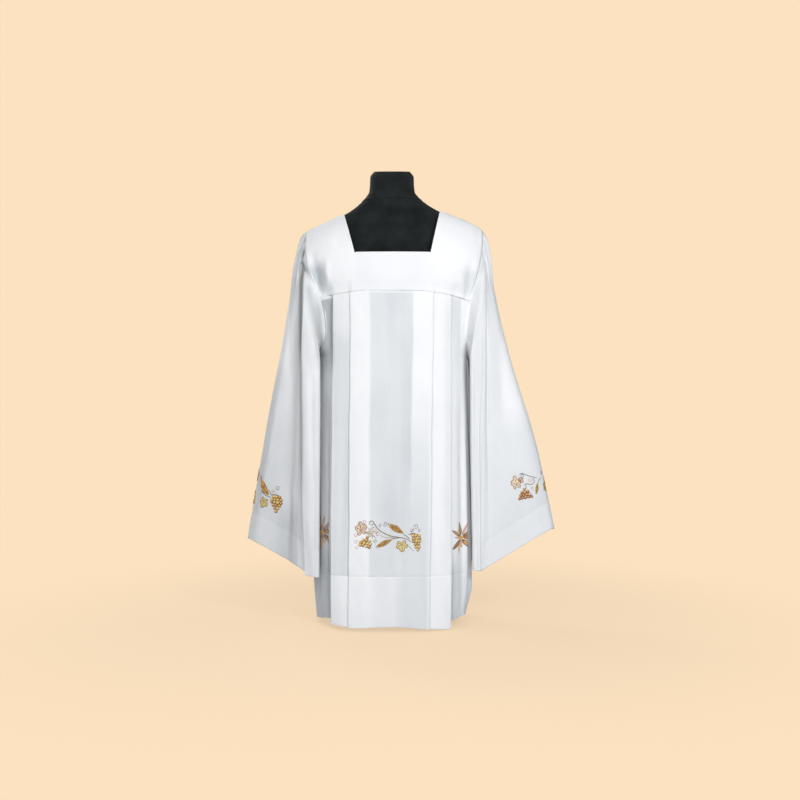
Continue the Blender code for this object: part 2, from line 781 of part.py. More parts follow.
def build_cylinder(name, radius, low, high, bevel, material, collection):
    bpy.ops.mesh.primitive_cylinder_add(
        vertices=48, radius=radius, depth=high - low, location=(0, 0, (low + high) / 2)
    )
    obj = bpy.context.object
    obj.name = obj.data.name = name
    for c in list(obj.users_collection):
        c.objects.unlink(obj)
    collection.objects.link(obj)
    obj.data.materials.append(material)
    if bevel:
        edge = obj.modifiers.new("edge", "BEVEL")
        edge.width = bevel
        edge.segments = 2
        edge.limit_method = "ANGLE"
        edge.angle_limit = math.radians(40)
    obj.data.shade_smooth()
    obj.data.set_sharp_from_angle(angle=math.radians(35))
    return obj


# ------------------------------------------------------------------ build
def main():
    for obj in list(bpy.data.objects):
        bpy.data.objects.remove(obj, do_unlink=True)
    parts = bpy.data.collections.new("surplice_on_dress_form")
    bpy.context.scene.collection.children.link(parts)

    white = make_material("white_cloth", (0.86, 0.87, 0.89), 0.85)
    jersey = make_material("black_jersey", (0.012, 0.012, 0.014), 0.9)
    steel = make_material("post_steel", (0.55, 0.55, 0.56), 0.3, 1.0)
    lacquer = make_material("base_lacquer", (0.75, 0.75, 0.76), 0.4)

    bodies, yokes = {}, {}
    for face in ("front", "back"):
        _, bodies[face] = build_body(face, white, parts)
        top = bodies[face][-1]
        corner = {"right": abs(top[0].x), "left": abs(top[-1].x)}
        _, yokes[face] = build_yoke(face, corner, white, parts)
    for side in ("right", "left"):
        build_sleeve(side, yokes, bodies, white, parts)

    build_form(jersey, parts)
    build_cylinder(
        "form_post", POST_RADIUS, BASE_HEIGHT + GAP, FORM_BOTTOM - SINK - GAP, 0, steel, parts
    )
    build_cylinder("form_base", BASE_RADIUS, 0.0, BASE_HEIGHT, 0.002, lacquer, parts)


main()
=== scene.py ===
"""Looks for the surplice on its dress form.

Metres, +Z up, the front faces -Y, as in the CAD. Left and right are the wearer's. Heights in
the tables start SINK under the floor, as they do in the CAD. Every cloth piece is a fine grid
on the middle of its CAD solid's wall, thickened into a thin shell.
"""

import math
from collections import namedtuple

import bpy
import numpy as np
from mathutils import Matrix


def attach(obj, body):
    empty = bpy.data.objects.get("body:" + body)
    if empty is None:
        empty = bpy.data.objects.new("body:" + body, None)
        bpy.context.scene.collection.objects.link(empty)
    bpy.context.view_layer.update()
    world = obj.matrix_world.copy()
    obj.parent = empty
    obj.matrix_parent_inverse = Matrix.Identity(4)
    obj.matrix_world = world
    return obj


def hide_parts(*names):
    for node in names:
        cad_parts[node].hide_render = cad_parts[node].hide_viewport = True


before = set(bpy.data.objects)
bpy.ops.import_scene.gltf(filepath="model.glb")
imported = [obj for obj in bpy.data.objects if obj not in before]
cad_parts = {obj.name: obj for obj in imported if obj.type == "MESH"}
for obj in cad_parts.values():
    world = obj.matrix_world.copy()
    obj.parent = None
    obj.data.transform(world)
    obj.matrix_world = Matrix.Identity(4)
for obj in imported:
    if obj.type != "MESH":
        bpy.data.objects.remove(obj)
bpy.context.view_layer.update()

# ------------------------------------------------------------------ sizes shared with the CAD
CLOTH = 0.0010
GAP = 0.0003
RIDGE_GAP = 0.0004
SHELL = 0.0008          # thickness of the cloth shown

SEAM_Z = 0.823
SEAM_DROOP = 4.43
SEAM_POWER = 3.2
UNDERARM_Z = 0.668
HEM_Z = 0.018
HEM_LINE = 0.1435       # stitching of the skirt's hem

FRONT_NECK_Z = 0.9135
BACK_NECK_Z = 0.965
NECK_HALF_LOW = 0.0905
NECK_HALF_TOP = 0.1195
NECK_SHIFT = 0.0025

PLEAT_STEP_TOP = 0.00190
PLEAT_STEP_HEM = 0.00260

SINK = 0.013
FORM_LEAN = 0.033

Outline = namedtuple("Outline", "z half_width front_depth back_depth corner")
BODY_OUTLINE = (
    Outline(0.000, 0.186, 0.1500, 0.1460, 3.1),
    Outline(0.120, 0.195, 0.1500, 0.1455, 3.2),
    Outline(0.350, 0.192, 0.1450, 0.1390, 3.3),
    Outline(0.560, 0.187, 0.1385, 0.1310, 3.1),
    Outline(0.668, 0.186, 0.1345, 0.1260, 2.9),
    Outline(0.740, 0.196, 0.1325, 0.1225, 2.5),
    Outline(0.830, 0.216, 0.1310, 0.1180, 2.4),
)

Shoulder = namedtuple("Shoulder", "out right left")
SHOULDER_LINE = (
    Shoulder(0.000, 1.0600, 1.0640),
    Shoulder(0.060, 1.0480, 1.0530),
    Shoulder(0.120, 1.0235, 1.0315),
    Shoulder(0.160, 1.0055, 1.0165),
    Shoulder(0.200, 0.9870, 1.0000),
    Shoulder(0.228, 0.9740, 0.9820),
)

Armhole = namedtuple("Armhole", "z right left")
YOKE_ARMHOLE = (
    Armhole(0.800, 0.1740, 0.1930),
    Armhole(0.850, 0.1940, 0.2050),
    Armhole(0.895, 0.2080, 0.2150),
    Armhole(0.940, 0.2110, 0.2220),
    Armhole(0.985, 0.2100, 0.2250),
)

CutAway = namedtuple("CutAway", "z right left")
BODY_ARMHOLE = (
    CutAway(0.668, 0.000, 0.000),
    CutAway(0.677, 0.044, 0.027),
    CutAway(0.690, 0.074, 0.044),
    CutAway(0.712, 0.095, 0.058),
    CutAway(0.755, 0.101, 0.065),
    CutAway(0.830, 0.101, 0.076),
)
ARMHOLE_ROWS = (0.668, 0.677, 0.690, 0.712, 0.755)

Pleat = namedtuple("Pleat", "top hem under")
FRONT_PLEATS = {
    "right": (Pleat(0.0980, 0.1020, 0.0475), Pleat(0.1440, 0.1490, 0.0430)),
    "left": (Pleat(0.1000, 0.0892, 0.0475), Pleat(0.1455, 0.1445, 0.0430)),
}
BACK_PLEATS = {
    "right": (Pleat(0.0970, 0.0960, 0.0475), Pleat(0.1430, 0.1430, 0.0430)),
    "left": (Pleat(0.0970, 0.0980, 0.0475), Pleat(0.1430, 0.1450, 0.0430)),
}

SidePanel = namedtuple("SidePanel", "recess lift tuck swell")
SIDE_PANELS = {
    ("front", "right"): SidePanel(0.013, 0.010, 0.000, 0.000),
    ("front", "left"): SidePanel(0.002, 0.020, 0.012, 0.010),
    ("back", "right"): SidePanel(0.010, 0.012, 0.000, 0.000),
    ("back", "left"): SidePanel(0.010, 0.014, 0.012, 0.000),
}

HemLift = namedtuple("HemLift", "x lift")
FRONT_HEM = (
    HemLift(-0.200, 0.001),
    HemLift(-0.150, 0.006),
    HemLift(-0.100, 0.003),
    HemLift(0.000, 0.007),
    HemLift(0.089, 0.000),
    HemLift(0.145, -0.004),
    HemLift(0.200, 0.012),
)
BACK_HEM = (
    HemLift(-0.200, 0.001),
    HemLift(-0.100, 0.004),
    HemLift(0.000, 0.008),
    HemLift(0.100, 0.002),
    HemLift(0.200, 0.012),
)

Hollow = namedtuple("Hollow", "face x z depth wide tall")
HOLLOWS = (
    Hollow("front", -0.178, 0.856, 0.0130, 0.015, 0.032),
    Hollow("front", 0.191, 0.852, 0.0080, 0.014, 0.030),
    Hollow("back", -0.182, 0.860, 0.0060, 0.020, 0.034),
    Hollow("back", 0.188, 0.862, 0.0055, 0.020, 0.034),
)

Section = namedtuple(
    "Section",
    "outer_x outer_z panel_x panel_y panel_z groove_x groove_y groove_z "
    "ridge_x ridge_y ridge_z lap_x lap_y lap_z inner_x inner_z",
)
SLEEVE_SECTIONS = {
    "right": (
        Section(0.2240, 0.9650, 0.2215, -0.0450, 0.9150, 0.2140, -0.0780, 0.8680,
                0.2020, -0.0970, 0.7750, 0.1745, -0.1030, 0.6950, 0.1905, 0.6460),
        Section(0.2375, 0.9000, 0.2365, -0.0480, 0.8450, 0.2170, -0.0860, 0.7900,
                0.2075, -0.1050, 0.7250, 0.1710, -0.1120, 0.6550, 0.1960, 0.6160),
        Section(0.2555, 0.8000, 0.2580, -0.0500, 0.7220, 0.2190, -0.0920, 0.6600,
                0.2105, -0.1110, 0.6120, 0.1705, -0.1160, 0.5720, 0.2000, 0.5500),
        Section(0.2840, 0.6300, 0.2840, -0.0480, 0.5520, 0.2195, -0.0960, 0.4900,
                0.2110, -0.1150, 0.4600, 0.1720, -0.1190, 0.4400, 0.2030, 0.4300),
        Section(0.3180, 0.4400, 0.3140, -0.0410, 0.3720, 0.2185, -0.0990, 0.3160,
                0.2100, -0.1170, 0.3000, 0.1735, -0.1210, 0.2900, 0.2050, 0.2860),
        Section(0.3570, 0.2145, 0.3350, -0.0360, 0.2110, 0.2170, -0.1010, 0.1545,
                0.2060, -0.1160, 0.1420, 0.1735, -0.1200, 0.1380, 0.2060, 0.1420),
    ),
    "left": (
        Section(0.2335, 0.9630, 0.2305, -0.0470, 0.9150, 0.2240, -0.0750, 0.8680,
                0.2080, -0.0910, 0.7750, 0.1930, -0.0900, 0.6950, 0.1925, 0.6500),
        Section(0.2420, 0.9050, 0.2420, -0.0520, 0.8480, 0.2280, -0.0800, 0.7900,
                0.2120, -0.0940, 0.7250, 0.1895, -0.0930, 0.6600, 0.1975, 0.6220),
        Section(0.2610, 0.8000, 0.2635, -0.0560, 0.7220, 0.2300, -0.0830, 0.6600,
                0.2115, -0.0970, 0.6120, 0.1890, -0.0950, 0.5720, 0.2010, 0.5520),
        Section(0.3000, 0.6400, 0.2985, -0.0600, 0.5600, 0.2300, -0.0850, 0.4920,
                0.2105, -0.0990, 0.4620, 0.1895, -0.0950, 0.4400, 0.2040, 0.4320),
        Section(0.3540, 0.4550, 0.3480, -0.0620, 0.3850, 0.2310, -0.0870, 0.3180,
                0.2115, -0.1000, 0.3020, 0.1920, -0.0960, 0.2920, 0.2070, 0.2900),
        Section(0.4030, 0.2385, 0.3760, -0.0640, 0.2390, 0.2310, -0.0850, 0.1550,
                0.2125, -0.1000, 0.1500, 0.1950, -0.0960, 0.1500, 0.2085, 0.1520),
    ),
}
BACK_SHARE = 0.96
BACK_GROOVE = 0.45
SEGMENTS = (3, 4, 3, 2, 3)

FormRow = namedtuple("FormRow", "z half_width front back corner")
FORM_ROWS = (
    FormRow(0.250, 0.150, 0.098, 0.100, 2.2),
    FormRow(0.256, 0.163, 0.109, 0.111, 2.2),
    FormRow(0.275, 0.169, 0.115, 0.117, 2.2),
    FormRow(0.390, 0.171, 0.116, 0.121, 2.2),
    FormRow(0.500, 0.160, 0.109, 0.113, 2.2),
    FormRow(0.610, 0.145, 0.104, 0.101, 2.2),
    FormRow(0.700, 0.149, 0.108, 0.100, 2.2),
    FormRow(0.780, 0.160, 0.114, 0.103, 2.2),
    FormRow(0.850, 0.171, 0.112, 0.104, 2.2),
    FormRow(0.905, 0.183, 0.102, 0.098, 2.25),
    FormRow(0.945, 0.194, 0.086, 0.085, 2.3),
    FormRow(0.975, 0.1985, 0.068, 0.070, 2.3),
    FormRow(0.990, 0.1900, 0.061, 0.063, 2.2),
    FormRow(1.007, 0.1600, 0.0585, 0.060, 2.1),
    FormRow(1.025, 0.1200, 0.0570, 0.058, 2.0),
    FormRow(1.045, 0.0880, 0.0565, 0.057, 2.0),
    FormRow(1.066, 0.0655, 0.0565, 0.057, 2.0),
    FormRow(1.078, 0.0575, 0.0555, 0.056, 2.0),
    FormRow(1.0975, 0.0550, 0.0550, 0.055, 2.0),
    FormRow(1.1160, 0.0545, 0.0545, 0.0545, 2.0),
    FormRow(1.1180, 0.0540, 0.0540, 0.0540, 2.0),
    FormRow(1.1295, 0.0455, 0.0455, 0.0455, 2.0),
    FormRow(1.1305, 0.0445, 0.0445, 0.0445, 2.0),
)
CAP_SLANT = 0.20        # the neck's cap slopes down to the front

# ------------------------------------------------------------------ creases
# A soft trough (negative depth) or ridge. "at" is where it lies across the cloth, "low" and
# "high" where it begins and ends along it, "drift" how far it wanders over that length.
Crease = namedtuple("Crease", "at low high depth width drift")

# across: metres round from the middle of the front or back, + to the wearer's left; along: height
BODY_CREASES = {
    "front": (
        Crease(-0.036, 0.30, 0.78, -0.0022, 0.017, 0.010),
        Crease(0.012, 0.02, 0.46, 0.0030, 0.020, -0.012),
        Crease(0.047, 0.40, 0.80, 0.0018, 0.014, -0.006),
        Crease(-0.066, 0.00, 0.34, 0.0020, 0.015, 0.008),
        Crease(0.066, 0.02, 0.30, -0.0022, 0.012, 0.006),
        Crease(-0.014, 0.10, 0.30, -0.0020, 0.013, 0.012),
        Crease(-0.119, 0.10, 0.56, -0.0012, 0.009, 0.004),
        Crease(0.121, 0.30, 0.76, -0.0010, 0.009, -0.003),
        Crease(-0.170, 0.00, 0.64, 0.0040, 0.0085, 0.004),
        Crease(-0.160, 0.58, 0.92, -0.0120, 0.0090, 0.000),
        Crease(-0.187, -0.05, 0.55, -0.0050, 0.0085, 0.002),
        Crease(-0.206, -0.05, 0.46, 0.0040, 0.0090, -0.004),
        Crease(-0.228, -0.05, 0.38, -0.0035, 0.0110, 0.003),
        Crease(0.166, 0.02, 0.72, 0.0030, 0.0075, -0.003),
        Crease(0.180, -0.05, 0.62, -0.0045, 0.0080, 0.002),
        Crease(0.196, -0.05, 0.50, 0.0038, 0.0085, 0.003),
        Crease(0.213, -0.05, 0.58, -0.0055, 0.0100, -0.005),
        Crease(0.236, -0.05, 0.36, 0.0030, 0.0110, 0.000),
    ),
    "back": (
        Crease(-0.030, 0.22, 0.80, -0.0028, 0.019, 0.012),
        Crease(0.024, 0.02, 0.52, 0.0030, 0.021, -0.010),
        Crease(0.058, 0.34, 0.80, 0.0020, 0.014, -0.006),
        Crease(-0.070, 0.00, 0.40, 0.0024, 0.016, 0.006),
        Crease(0.004, 0.46, 0.82, 0.0018, 0.012, 0.008),
        Crease(-0.118, 0.04, 0.48, -0.0014, 0.010, 0.004),
        Crease(0.123, 0.24, 0.74, -0.0012, 0.009, -0.004),
        Crease(-0.168, 0.00, 0.60, 0.0036, 0.0090, 0.004),
        Crease(-0.188, -0.05, 0.50, -0.0050, 0.0095, 0.002),
        Crease(-0.211, -0.05, 0.62, 0.0040, 0.0100, -0.005),
        Crease(-0.236, -0.05, 0.36, -0.0030, 0.0110, 0.002),
        Crease(0.170, 0.02, 0.66, 0.0032, 0.0085, -0.003),
        Crease(0.189, -0.05, 0.54, -0.0048, 0.0090, 0.004),
        Crease(0.210, -0.05, 0.44, 0.0042, 0.0100, 0.003),
        Crease(0.234, -0.05, 0.60, -0.0040, 0.0110, -0.004),
    ),
}

# across: x; along: height
YOKE_CREASES = {
    "front": (
        Crease(-0.180, 0.785, 0.935, -0.0150, 0.0125, -0.016),
        Crease(-0.152, 0.800, 0.915, 0.0040, 0.0050, -0.004),
        Crease(-0.196, 0.840, 0.930, 0.0030, 0.0050, -0.006),
        Crease(-0.160, 0.790, 0.850, -0.0030, 0.0060, 0.010),
        Crease(0.183, 0.792, 0.905, -0.0055, 0.0065, 0.012),
        Crease(0.172, 0.795, 0.880, 0.0020, 0.0045, 0.004),
        Crease(0.197, 0.815, 0.930, 0.0026, 0.0055, 0.010),
        Crease(0.168, 0.800, 0.880, 0.0016, 0.0080, 0.008),
        Crease(-0.196, 0.930, 1.000, -0.0022, 0.0050, -0.008),
        Crease(0.207, 0.925, 1.000, -0.0020, 0.0050, 0.008),
        Crease(-0.120, 0.905, 1.010, -0.0016, 0.0130, -0.020),
        Crease(0.124, 0.900, 1.010, -0.0014, 0.0130, 0.022),
        Crease(-0.050, 0.820, 0.910, 0.0012, 0.0160, 0.010),
        Crease(0.030, 0.815, 0.905, -0.0010, 0.0180, -0.012),
    ),
    "back": (
        Crease(-0.176, 0.800, 0.920, -0.0038, 0.0075, -0.014),
        Crease(-0.192, 0.825, 0.935, 0.0030, 0.0065, -0.010),
        Crease(0.184, 0.795, 0.915, -0.0034, 0.0075, 0.014),
        Crease(0.200, 0.815, 0.935, 0.0028, 0.0060, 0.010),
        Crease(-0.112, 0.930, 1.015, -0.0016, 0.0130, -0.020),
        Crease(0.118, 0.925, 1.015, -0.0014, 0.0130, 0.022),
        Crease(-0.036, 0.830, 0.955, 0.0014, 0.0180, 0.012),
        Crease(0.044, 0.825, 0.950, -0.0014, 0.0160, -0.012),
    ),
}

# across: steps round the sleeve (0 outer fold, 3 panel, 7 groove, 10 ridge, 12 lap, 15 inner,
# then the back in the same way up to 30); along: 0 at the armhole, 1 at the cuff
SLEEVE_CREASES = {
    "right": (
        # gathers at the sleeve head
        Crease(0.20, -0.10, 0.14, 0.0060, 0.26, 0.05),
        Crease(0.85, -0.12, 0.20, -0.0095, 0.24, 0.20),
        Crease(1.50, -0.12, 0.26, 0.0075, 0.30, 0.45),
        Crease(2.25, -0.12, 0.20, -0.0095, 0.26, 0.50),
        Crease(3.05, -0.10, 0.17, 0.0070, 0.30, 0.45),
        Crease(3.80, -0.10, 0.13, -0.0060, 0.26, 0.30),
        Crease(4.00, 0.01, 0.13, -0.0026, 0.36, 0.40),
        Crease(29.30, -0.02, 0.16, -0.0042, 0.26, -0.15),
        Crease(28.60, -0.02, 0.24, 0.0046, 0.30, -0.35),
        Crease(27.80, 0.00, 0.20, -0.0044, 0.32, -0.50),
        Crease(26.90, 0.00, 0.15, 0.0032, 0.36, -0.50),
        # the broad front hollows before the front fold, and long folds run down it
        Crease(5.00, -0.10, 1.30, -0.0120, 1.20, 0.30),
        Crease(6.75, 0.02, 1.04, -0.0090, 0.30, 0.05),
        Crease(3.30, 0.34, 1.10, 0.0034, 0.60, -0.50),
        Crease(2.00, 0.24, 1.10, -0.0028, 0.55, 0.50),
        Crease(4.50, 0.66, 1.12, 0.0022, 0.45, 0.55),
        Crease(5.40, 0.70, 1.12, -0.0040, 0.30, 0.30),
        Crease(6.10, 0.50, 1.10, 0.0030, 0.28, -0.15),
        Crease(8.90, 0.00, 0.34, 0.0030, 0.30, 0.40),
        Crease(10.60, -0.10, 0.34, -0.0070, 0.60, 1.20),
        Crease(5.90, -0.14, 0.16, -0.0080, 0.34, 0.80),
        Crease(4.70, -0.18, 0.12, 0.0060, 0.40, 0.30),
        Crease(9.90, 0.04, 1.06, 0.0030, 0.55, 0.10),
        Crease(10.80, 0.10, 0.72, -0.0022, 0.26, 0.35),
        Crease(11.40, 0.44, 1.08, -0.0026, 0.24, -0.25),
        # and down the back
        Crease(29.60, 0.20, 1.12, -0.0070, 0.40, -0.40),
        Crease(0.95, 0.30, 1.12, 0.0036, 0.36, 0.30),
        Crease(28.20, 0.20, 1.10, -0.0050, 0.60, -0.50),
        Crease(27.40, 0.44, 1.12, 0.0046, 0.40, -0.30),
        Crease(25.60, 0.28, 1.10, 0.0050, 0.75, 0.50),
        Crease(24.60, 0.10, 1.00, -0.0090, 0.60, -0.50),
        Crease(23.10, 0.06, 0.90, -0.0060, 0.36, 0.20),
        Crease(21.80, 0.24, 1.10, 0.0046, 0.50, 0.30),
        Crease(20.40, 0.16, 0.80, -0.0040, 0.36, 0.25),
        Crease(26.90, 0.60, 1.10, -0.0040, 0.45, -0.30),
    ),
    "left": (
        Crease(0.25, -0.10, 0.12, 0.0050, 0.26, 0.10),
        Crease(0.90, -0.12, 0.18, -0.0080, 0.24, 0.25),
        Crease(1.60, -0.12, 0.22, 0.0070, 0.28, 0.45),
        Crease(2.40, -0.12, 0.20, -0.0080, 0.26, 0.60),
        Crease(3.20, -0.10, 0.15, 0.0055, 0.30, 0.45),
        Crease(4.10, -0.08, 0.12, -0.0045, 0.30, 0.30),
        Crease(29.35, -0.02, 0.17, -0.0042, 0.28, -0.15),
        Crease(28.60, -0.02, 0.22, 0.0046, 0.32, -0.35),
        Crease(27.70, 0.00, 0.19, -0.0042, 0.34, -0.50),
        Crease(26.80, 0.00, 0.15, 0.0030, 0.36, -0.50),
        Crease(2.40, 0.26, 1.10, 0.0030, 0.80, -0.40),
        Crease(4.20, 0.30, 1.10, -0.0034, 0.60, 0.50),
        Crease(5.20, 0.56, 1.10, 0.0034, 0.45, -0.45),
        Crease(6.60, 0.05, 1.06, -0.0056, 0.26, 0.20),
        Crease(7.60, 0.08, 1.10, 0.0036, 0.40, 0.10),
        Crease(8.90, 0.26, 1.10, -0.0030, 0.26, 0.25),
        Crease(9.90, 0.30, 1.06, 0.0024, 0.24, 0.10),
        Crease(10.70, 0.10, 0.70, -0.0024, 0.24, 0.20),
        Crease(1.20, 0.60, 1.10, -0.0030, 0.50, 0.30),
        Crease(3.40, 0.72, 1.12, 0.0036, 0.40, 0.35),
        Crease(29.50, 0.24, 1.12, -0.0066, 0.42, -0.40),
        Crease(0.90, 0.36, 1.12, 0.0034, 0.36, 0.30),
        Crease(28.20, 0.22, 1.10, -0.0052, 0.60, -0.50),
        Crease(27.60, 0.40, 1.12, 0.0044, 0.40, -0.30),
        Crease(25.90, 0.26, 1.10, 0.0046, 0.75, 0.40),
        Crease(24.60, 0.10, 1.00, -0.0086, 0.60, -0.60),
        Crease(23.00, 0.06, 0.94, -0.0056, 0.36, 0.25),
        Crease(21.70, 0.22, 1.10, 0.0044, 0.50, 0.30),
        Crease(20.50, 0.20, 0.84, -0.0038, 0.36, 0.25),
        Crease(27.20, 0.62, 1.10, 0.0036, 0.45, -0.30),
    ),
}


# ------------------------------------------------------------------ small tools
_tables = {}


def read_table(rows, key, column, at):
    """A smooth curve through one column of a table, read at values of its key column."""
    name = (id(rows), key, column)
    if name not in _tables:
        xs = np.array([getattr(r, key) for r in rows], float)
        ys = np.array([getattr(r, column) for r in rows], float)
        slope = np.diff(ys) / np.diff(xs)
        tangent = np.concatenate([slope[:1], np.zeros(len(xs) - 2), slope[-1:]])
        for j in range(1, len(xs) - 1):
            a, b = slope[j - 1], slope[j]
            tangent[j] = 0.0 if a * b <= 0 else 2 * a * b / (a + b)
        _tables[name] = (xs, ys, tangent)
    xs, ys, tangent = _tables[name]
    at = np.clip(np.asarray(at, float), xs[0], xs[-1])
    i = np.clip(np.searchsorted(xs, at, side="right") - 1, 0, len(xs) - 2)
    h = xs[i + 1] - xs[i]
    t = (at - xs[i]) / h
    return (
        ys[i] * (2 * t**3 - 3 * t**2 + 1)
        + tangent[i] * h * (t**3 - 2 * t**2 + t)
        + ys[i + 1] * (3 * t**2 - 2 * t**3)
        + tangent[i + 1] * h * (t**3 - t**2)
    )


def mix(a, b, t):
    return a + (b - a) * t


def ease(t):
    t = np.clip(t, 0.0, 1.0)
    return t * t * (3 - 2 * t)


def bump(distance, width):
    return np.exp(-((distance / width) ** 2))


def catmull(p0, p1, p2, p3, t):
    return 0.5 * (
        2 * p1
        + (p2 - p0) * t
        + (2 * p0 - 5 * p1 + 4 * p2 - p3) * t * t
        + (3 * p1 - p0 - 3 * p2 + p3) * t**3
    )


def soft_noise(u, v, seed):
    """A smooth random field, about -1 to 1, with one feature to each unit of u and v."""
    grid = np.random.default_rng(seed).uniform(-1, 1, (97, 97))
    iu, iv = np.floor(u).astype(int), np.floor(v).astype(int)
    fu, fv = u - iu, v - iv

    def weights(t):
        return (
            (1 - t) ** 3 / 6,
            (3 * t**3 - 6 * t**2 + 4) / 6,
            (-3 * t**3 + 3 * t**2 + 3 * t + 1) / 6,
            t**3 / 6,
        )

    total = 0.0
    for a, wa in enumerate(weights(fu)):
        for b, wb in enumerate(weights(fv)):
            total = total + wa * wb * grid[(iu + a) % 97, (iv + b) % 97]
    return total * 1.9


def crease_field(rows, across, along, wander):
    """The sum of the creases at each place. wander bends them, each in its own way."""
    total = np.zeros(np.broadcast(across, along).shape)
    for i, c in enumerate(rows):
        t = (along - c.low) / (c.high - c.low)
        window = ease(t / 0.38) * ease((1 - t) / 0.42)
        window = window * (0.82 + 0.18 * np.sin(7.0 * t + 1.9 * i))
        bend = np.sin(5.2 * t + 2.3 * i) + 0.5 * np.sin(11.3 * t + 0.7 * i)
        centre = c.at + c.drift * t + wander * bend * c.width
        total += c.depth * window * bump(across - centre, c.width)
    return total


def unit(v):
    return v / np.maximum(np.linalg.norm(v, axis=-1, keepdims=True), 1e-12)


def grid_normals(points, closed, flip):
    """Normals of a grid of points."""
    down = np.gradient(points, axis=0)
    if closed:
        across = np.roll(points, -1, axis=1) - np.roll(points, 1, axis=1)
    else:
        across = np.gradient(points, axis=1)
    n = unit(np.cross(across, down))
    return -n if flip else n


def make_object(name, points, faces, material):
    mesh = bpy.data.meshes.new(name)
    mesh.from_pydata(np.asarray(points, float).tolist(), [], faces)
    mesh.update()
    mesh.materials.append(material)
    mesh.shade_smooth()
    obj = bpy.data.objects.new(name, mesh)
    bpy.context.scene.collection.objects.link(obj)
    return obj


def add_uv(obj, uv):
    """A UV map in metres, so that weave and thread have their real scale."""
    mesh = obj.data
    layer = mesh.uv_layers.new(name="cloth")
    index = np.zeros(len(mesh.loops), np.int32)
    mesh.loops.foreach_get("vertex_index", index)
    layer.data.foreach_set("uv", np.asarray(uv, np.float32)[index].ravel())


def add_value(obj, name, values):
    attribute = obj.data.attributes.new(name, "FLOAT", "POINT")
    attribute.data.foreach_set("value", np.asarray(values, np.float32).ravel())


def add_colour(obj, name, colours):
    attribute = obj.data.color_attributes.new(name, "FLOAT_COLOR", "POINT")
    full = np.ones((len(colours), 4), np.float32)
    full[:, :3] = colours
    attribute.data.foreach_set("color", full.ravel())


def srgb(r, g, b):
    """A colour given as the screen shows it, as Blender's linear one."""
    v = np.array([r, g, b], float) / 255
    return tuple(np.where(v <= 0.04045, v / 12.92, ((v + 0.055) / 1.055) ** 2.4))


def grid_faces(rows, columns, closed, flip):
    r = np.arange(rows - 1)[:, None]
    c = np.arange(columns if closed else columns - 1)[None, :]
    a = r * columns + c
    b = r * columns + (c + 1) % columns
    quads = np.stack([a, b, b + columns, a + columns], axis=-1).reshape(-1, 4)
    return (quads[:, ::-1] if flip else quads).tolist()


def shell(obj, thickness=SHELL):
    wall = obj.modifiers.new("wall", "SOLIDIFY")
    wall.thickness = thickness
    wall.offset = 0.0
    wall.use_rim = True
    return obj


class Cloth:
    """A grid of points with the normals of its outer side. A place on it is a row and a
    column, and both may lie between two points."""

    def __init__(self, points, normals, closed):
        self.p, self.n, self.closed = points, normals, closed

    def at(self, r, c, height=0.0):
        rows, columns = self.p.shape[:2]
        r = np.clip(np.asarray(r, float), 0, rows - 1.000001)
        c = np.asarray(c, float)
        if self.closed:
            c = np.mod(c, columns)
        else:
            c = np.clip(c, 0, columns - 1.000001)
        r0, c0 = np.floor(r).astype(int), np.floor(c).astype(int)
        fr, fc = (r - r0)[..., None], (c - c0)[..., None]
        c1 = (c0 + 1) % columns if self.closed else np.minimum(c0 + 1, columns - 1)
        r1 = np.minimum(r0 + 1, rows - 1)

        def blend(g):
            return (
                g[r0, c0] * (1 - fr) * (1 - fc)
                + g[r0, c1] * (1 - fr) * fc
                + g[r1, c0] * fr * (1 - fc)
                + g[r1, c1] * fr * fc
            )

        return blend(self.p) + unit(blend(self.n)) * (np.asarray(height)[..., None] + SHELL / 2)


# ------------------------------------------------------------------ materials
def new_material(name):
    material = bpy.data.materials.new(name)
    material.use_nodes = True
    nodes = material.node_tree.nodes
    return material, nodes, material.node_tree.links, nodes["Principled BSDF"]


def node(nodes, kind, **inputs):
    made = nodes.new(kind)
    for key, value in inputs.items():
        name = key.replace("_", " ")
        if name in made.inputs:
            made.inputs[name].default_value = value
        else:
            setattr(made, key, value)
    return made


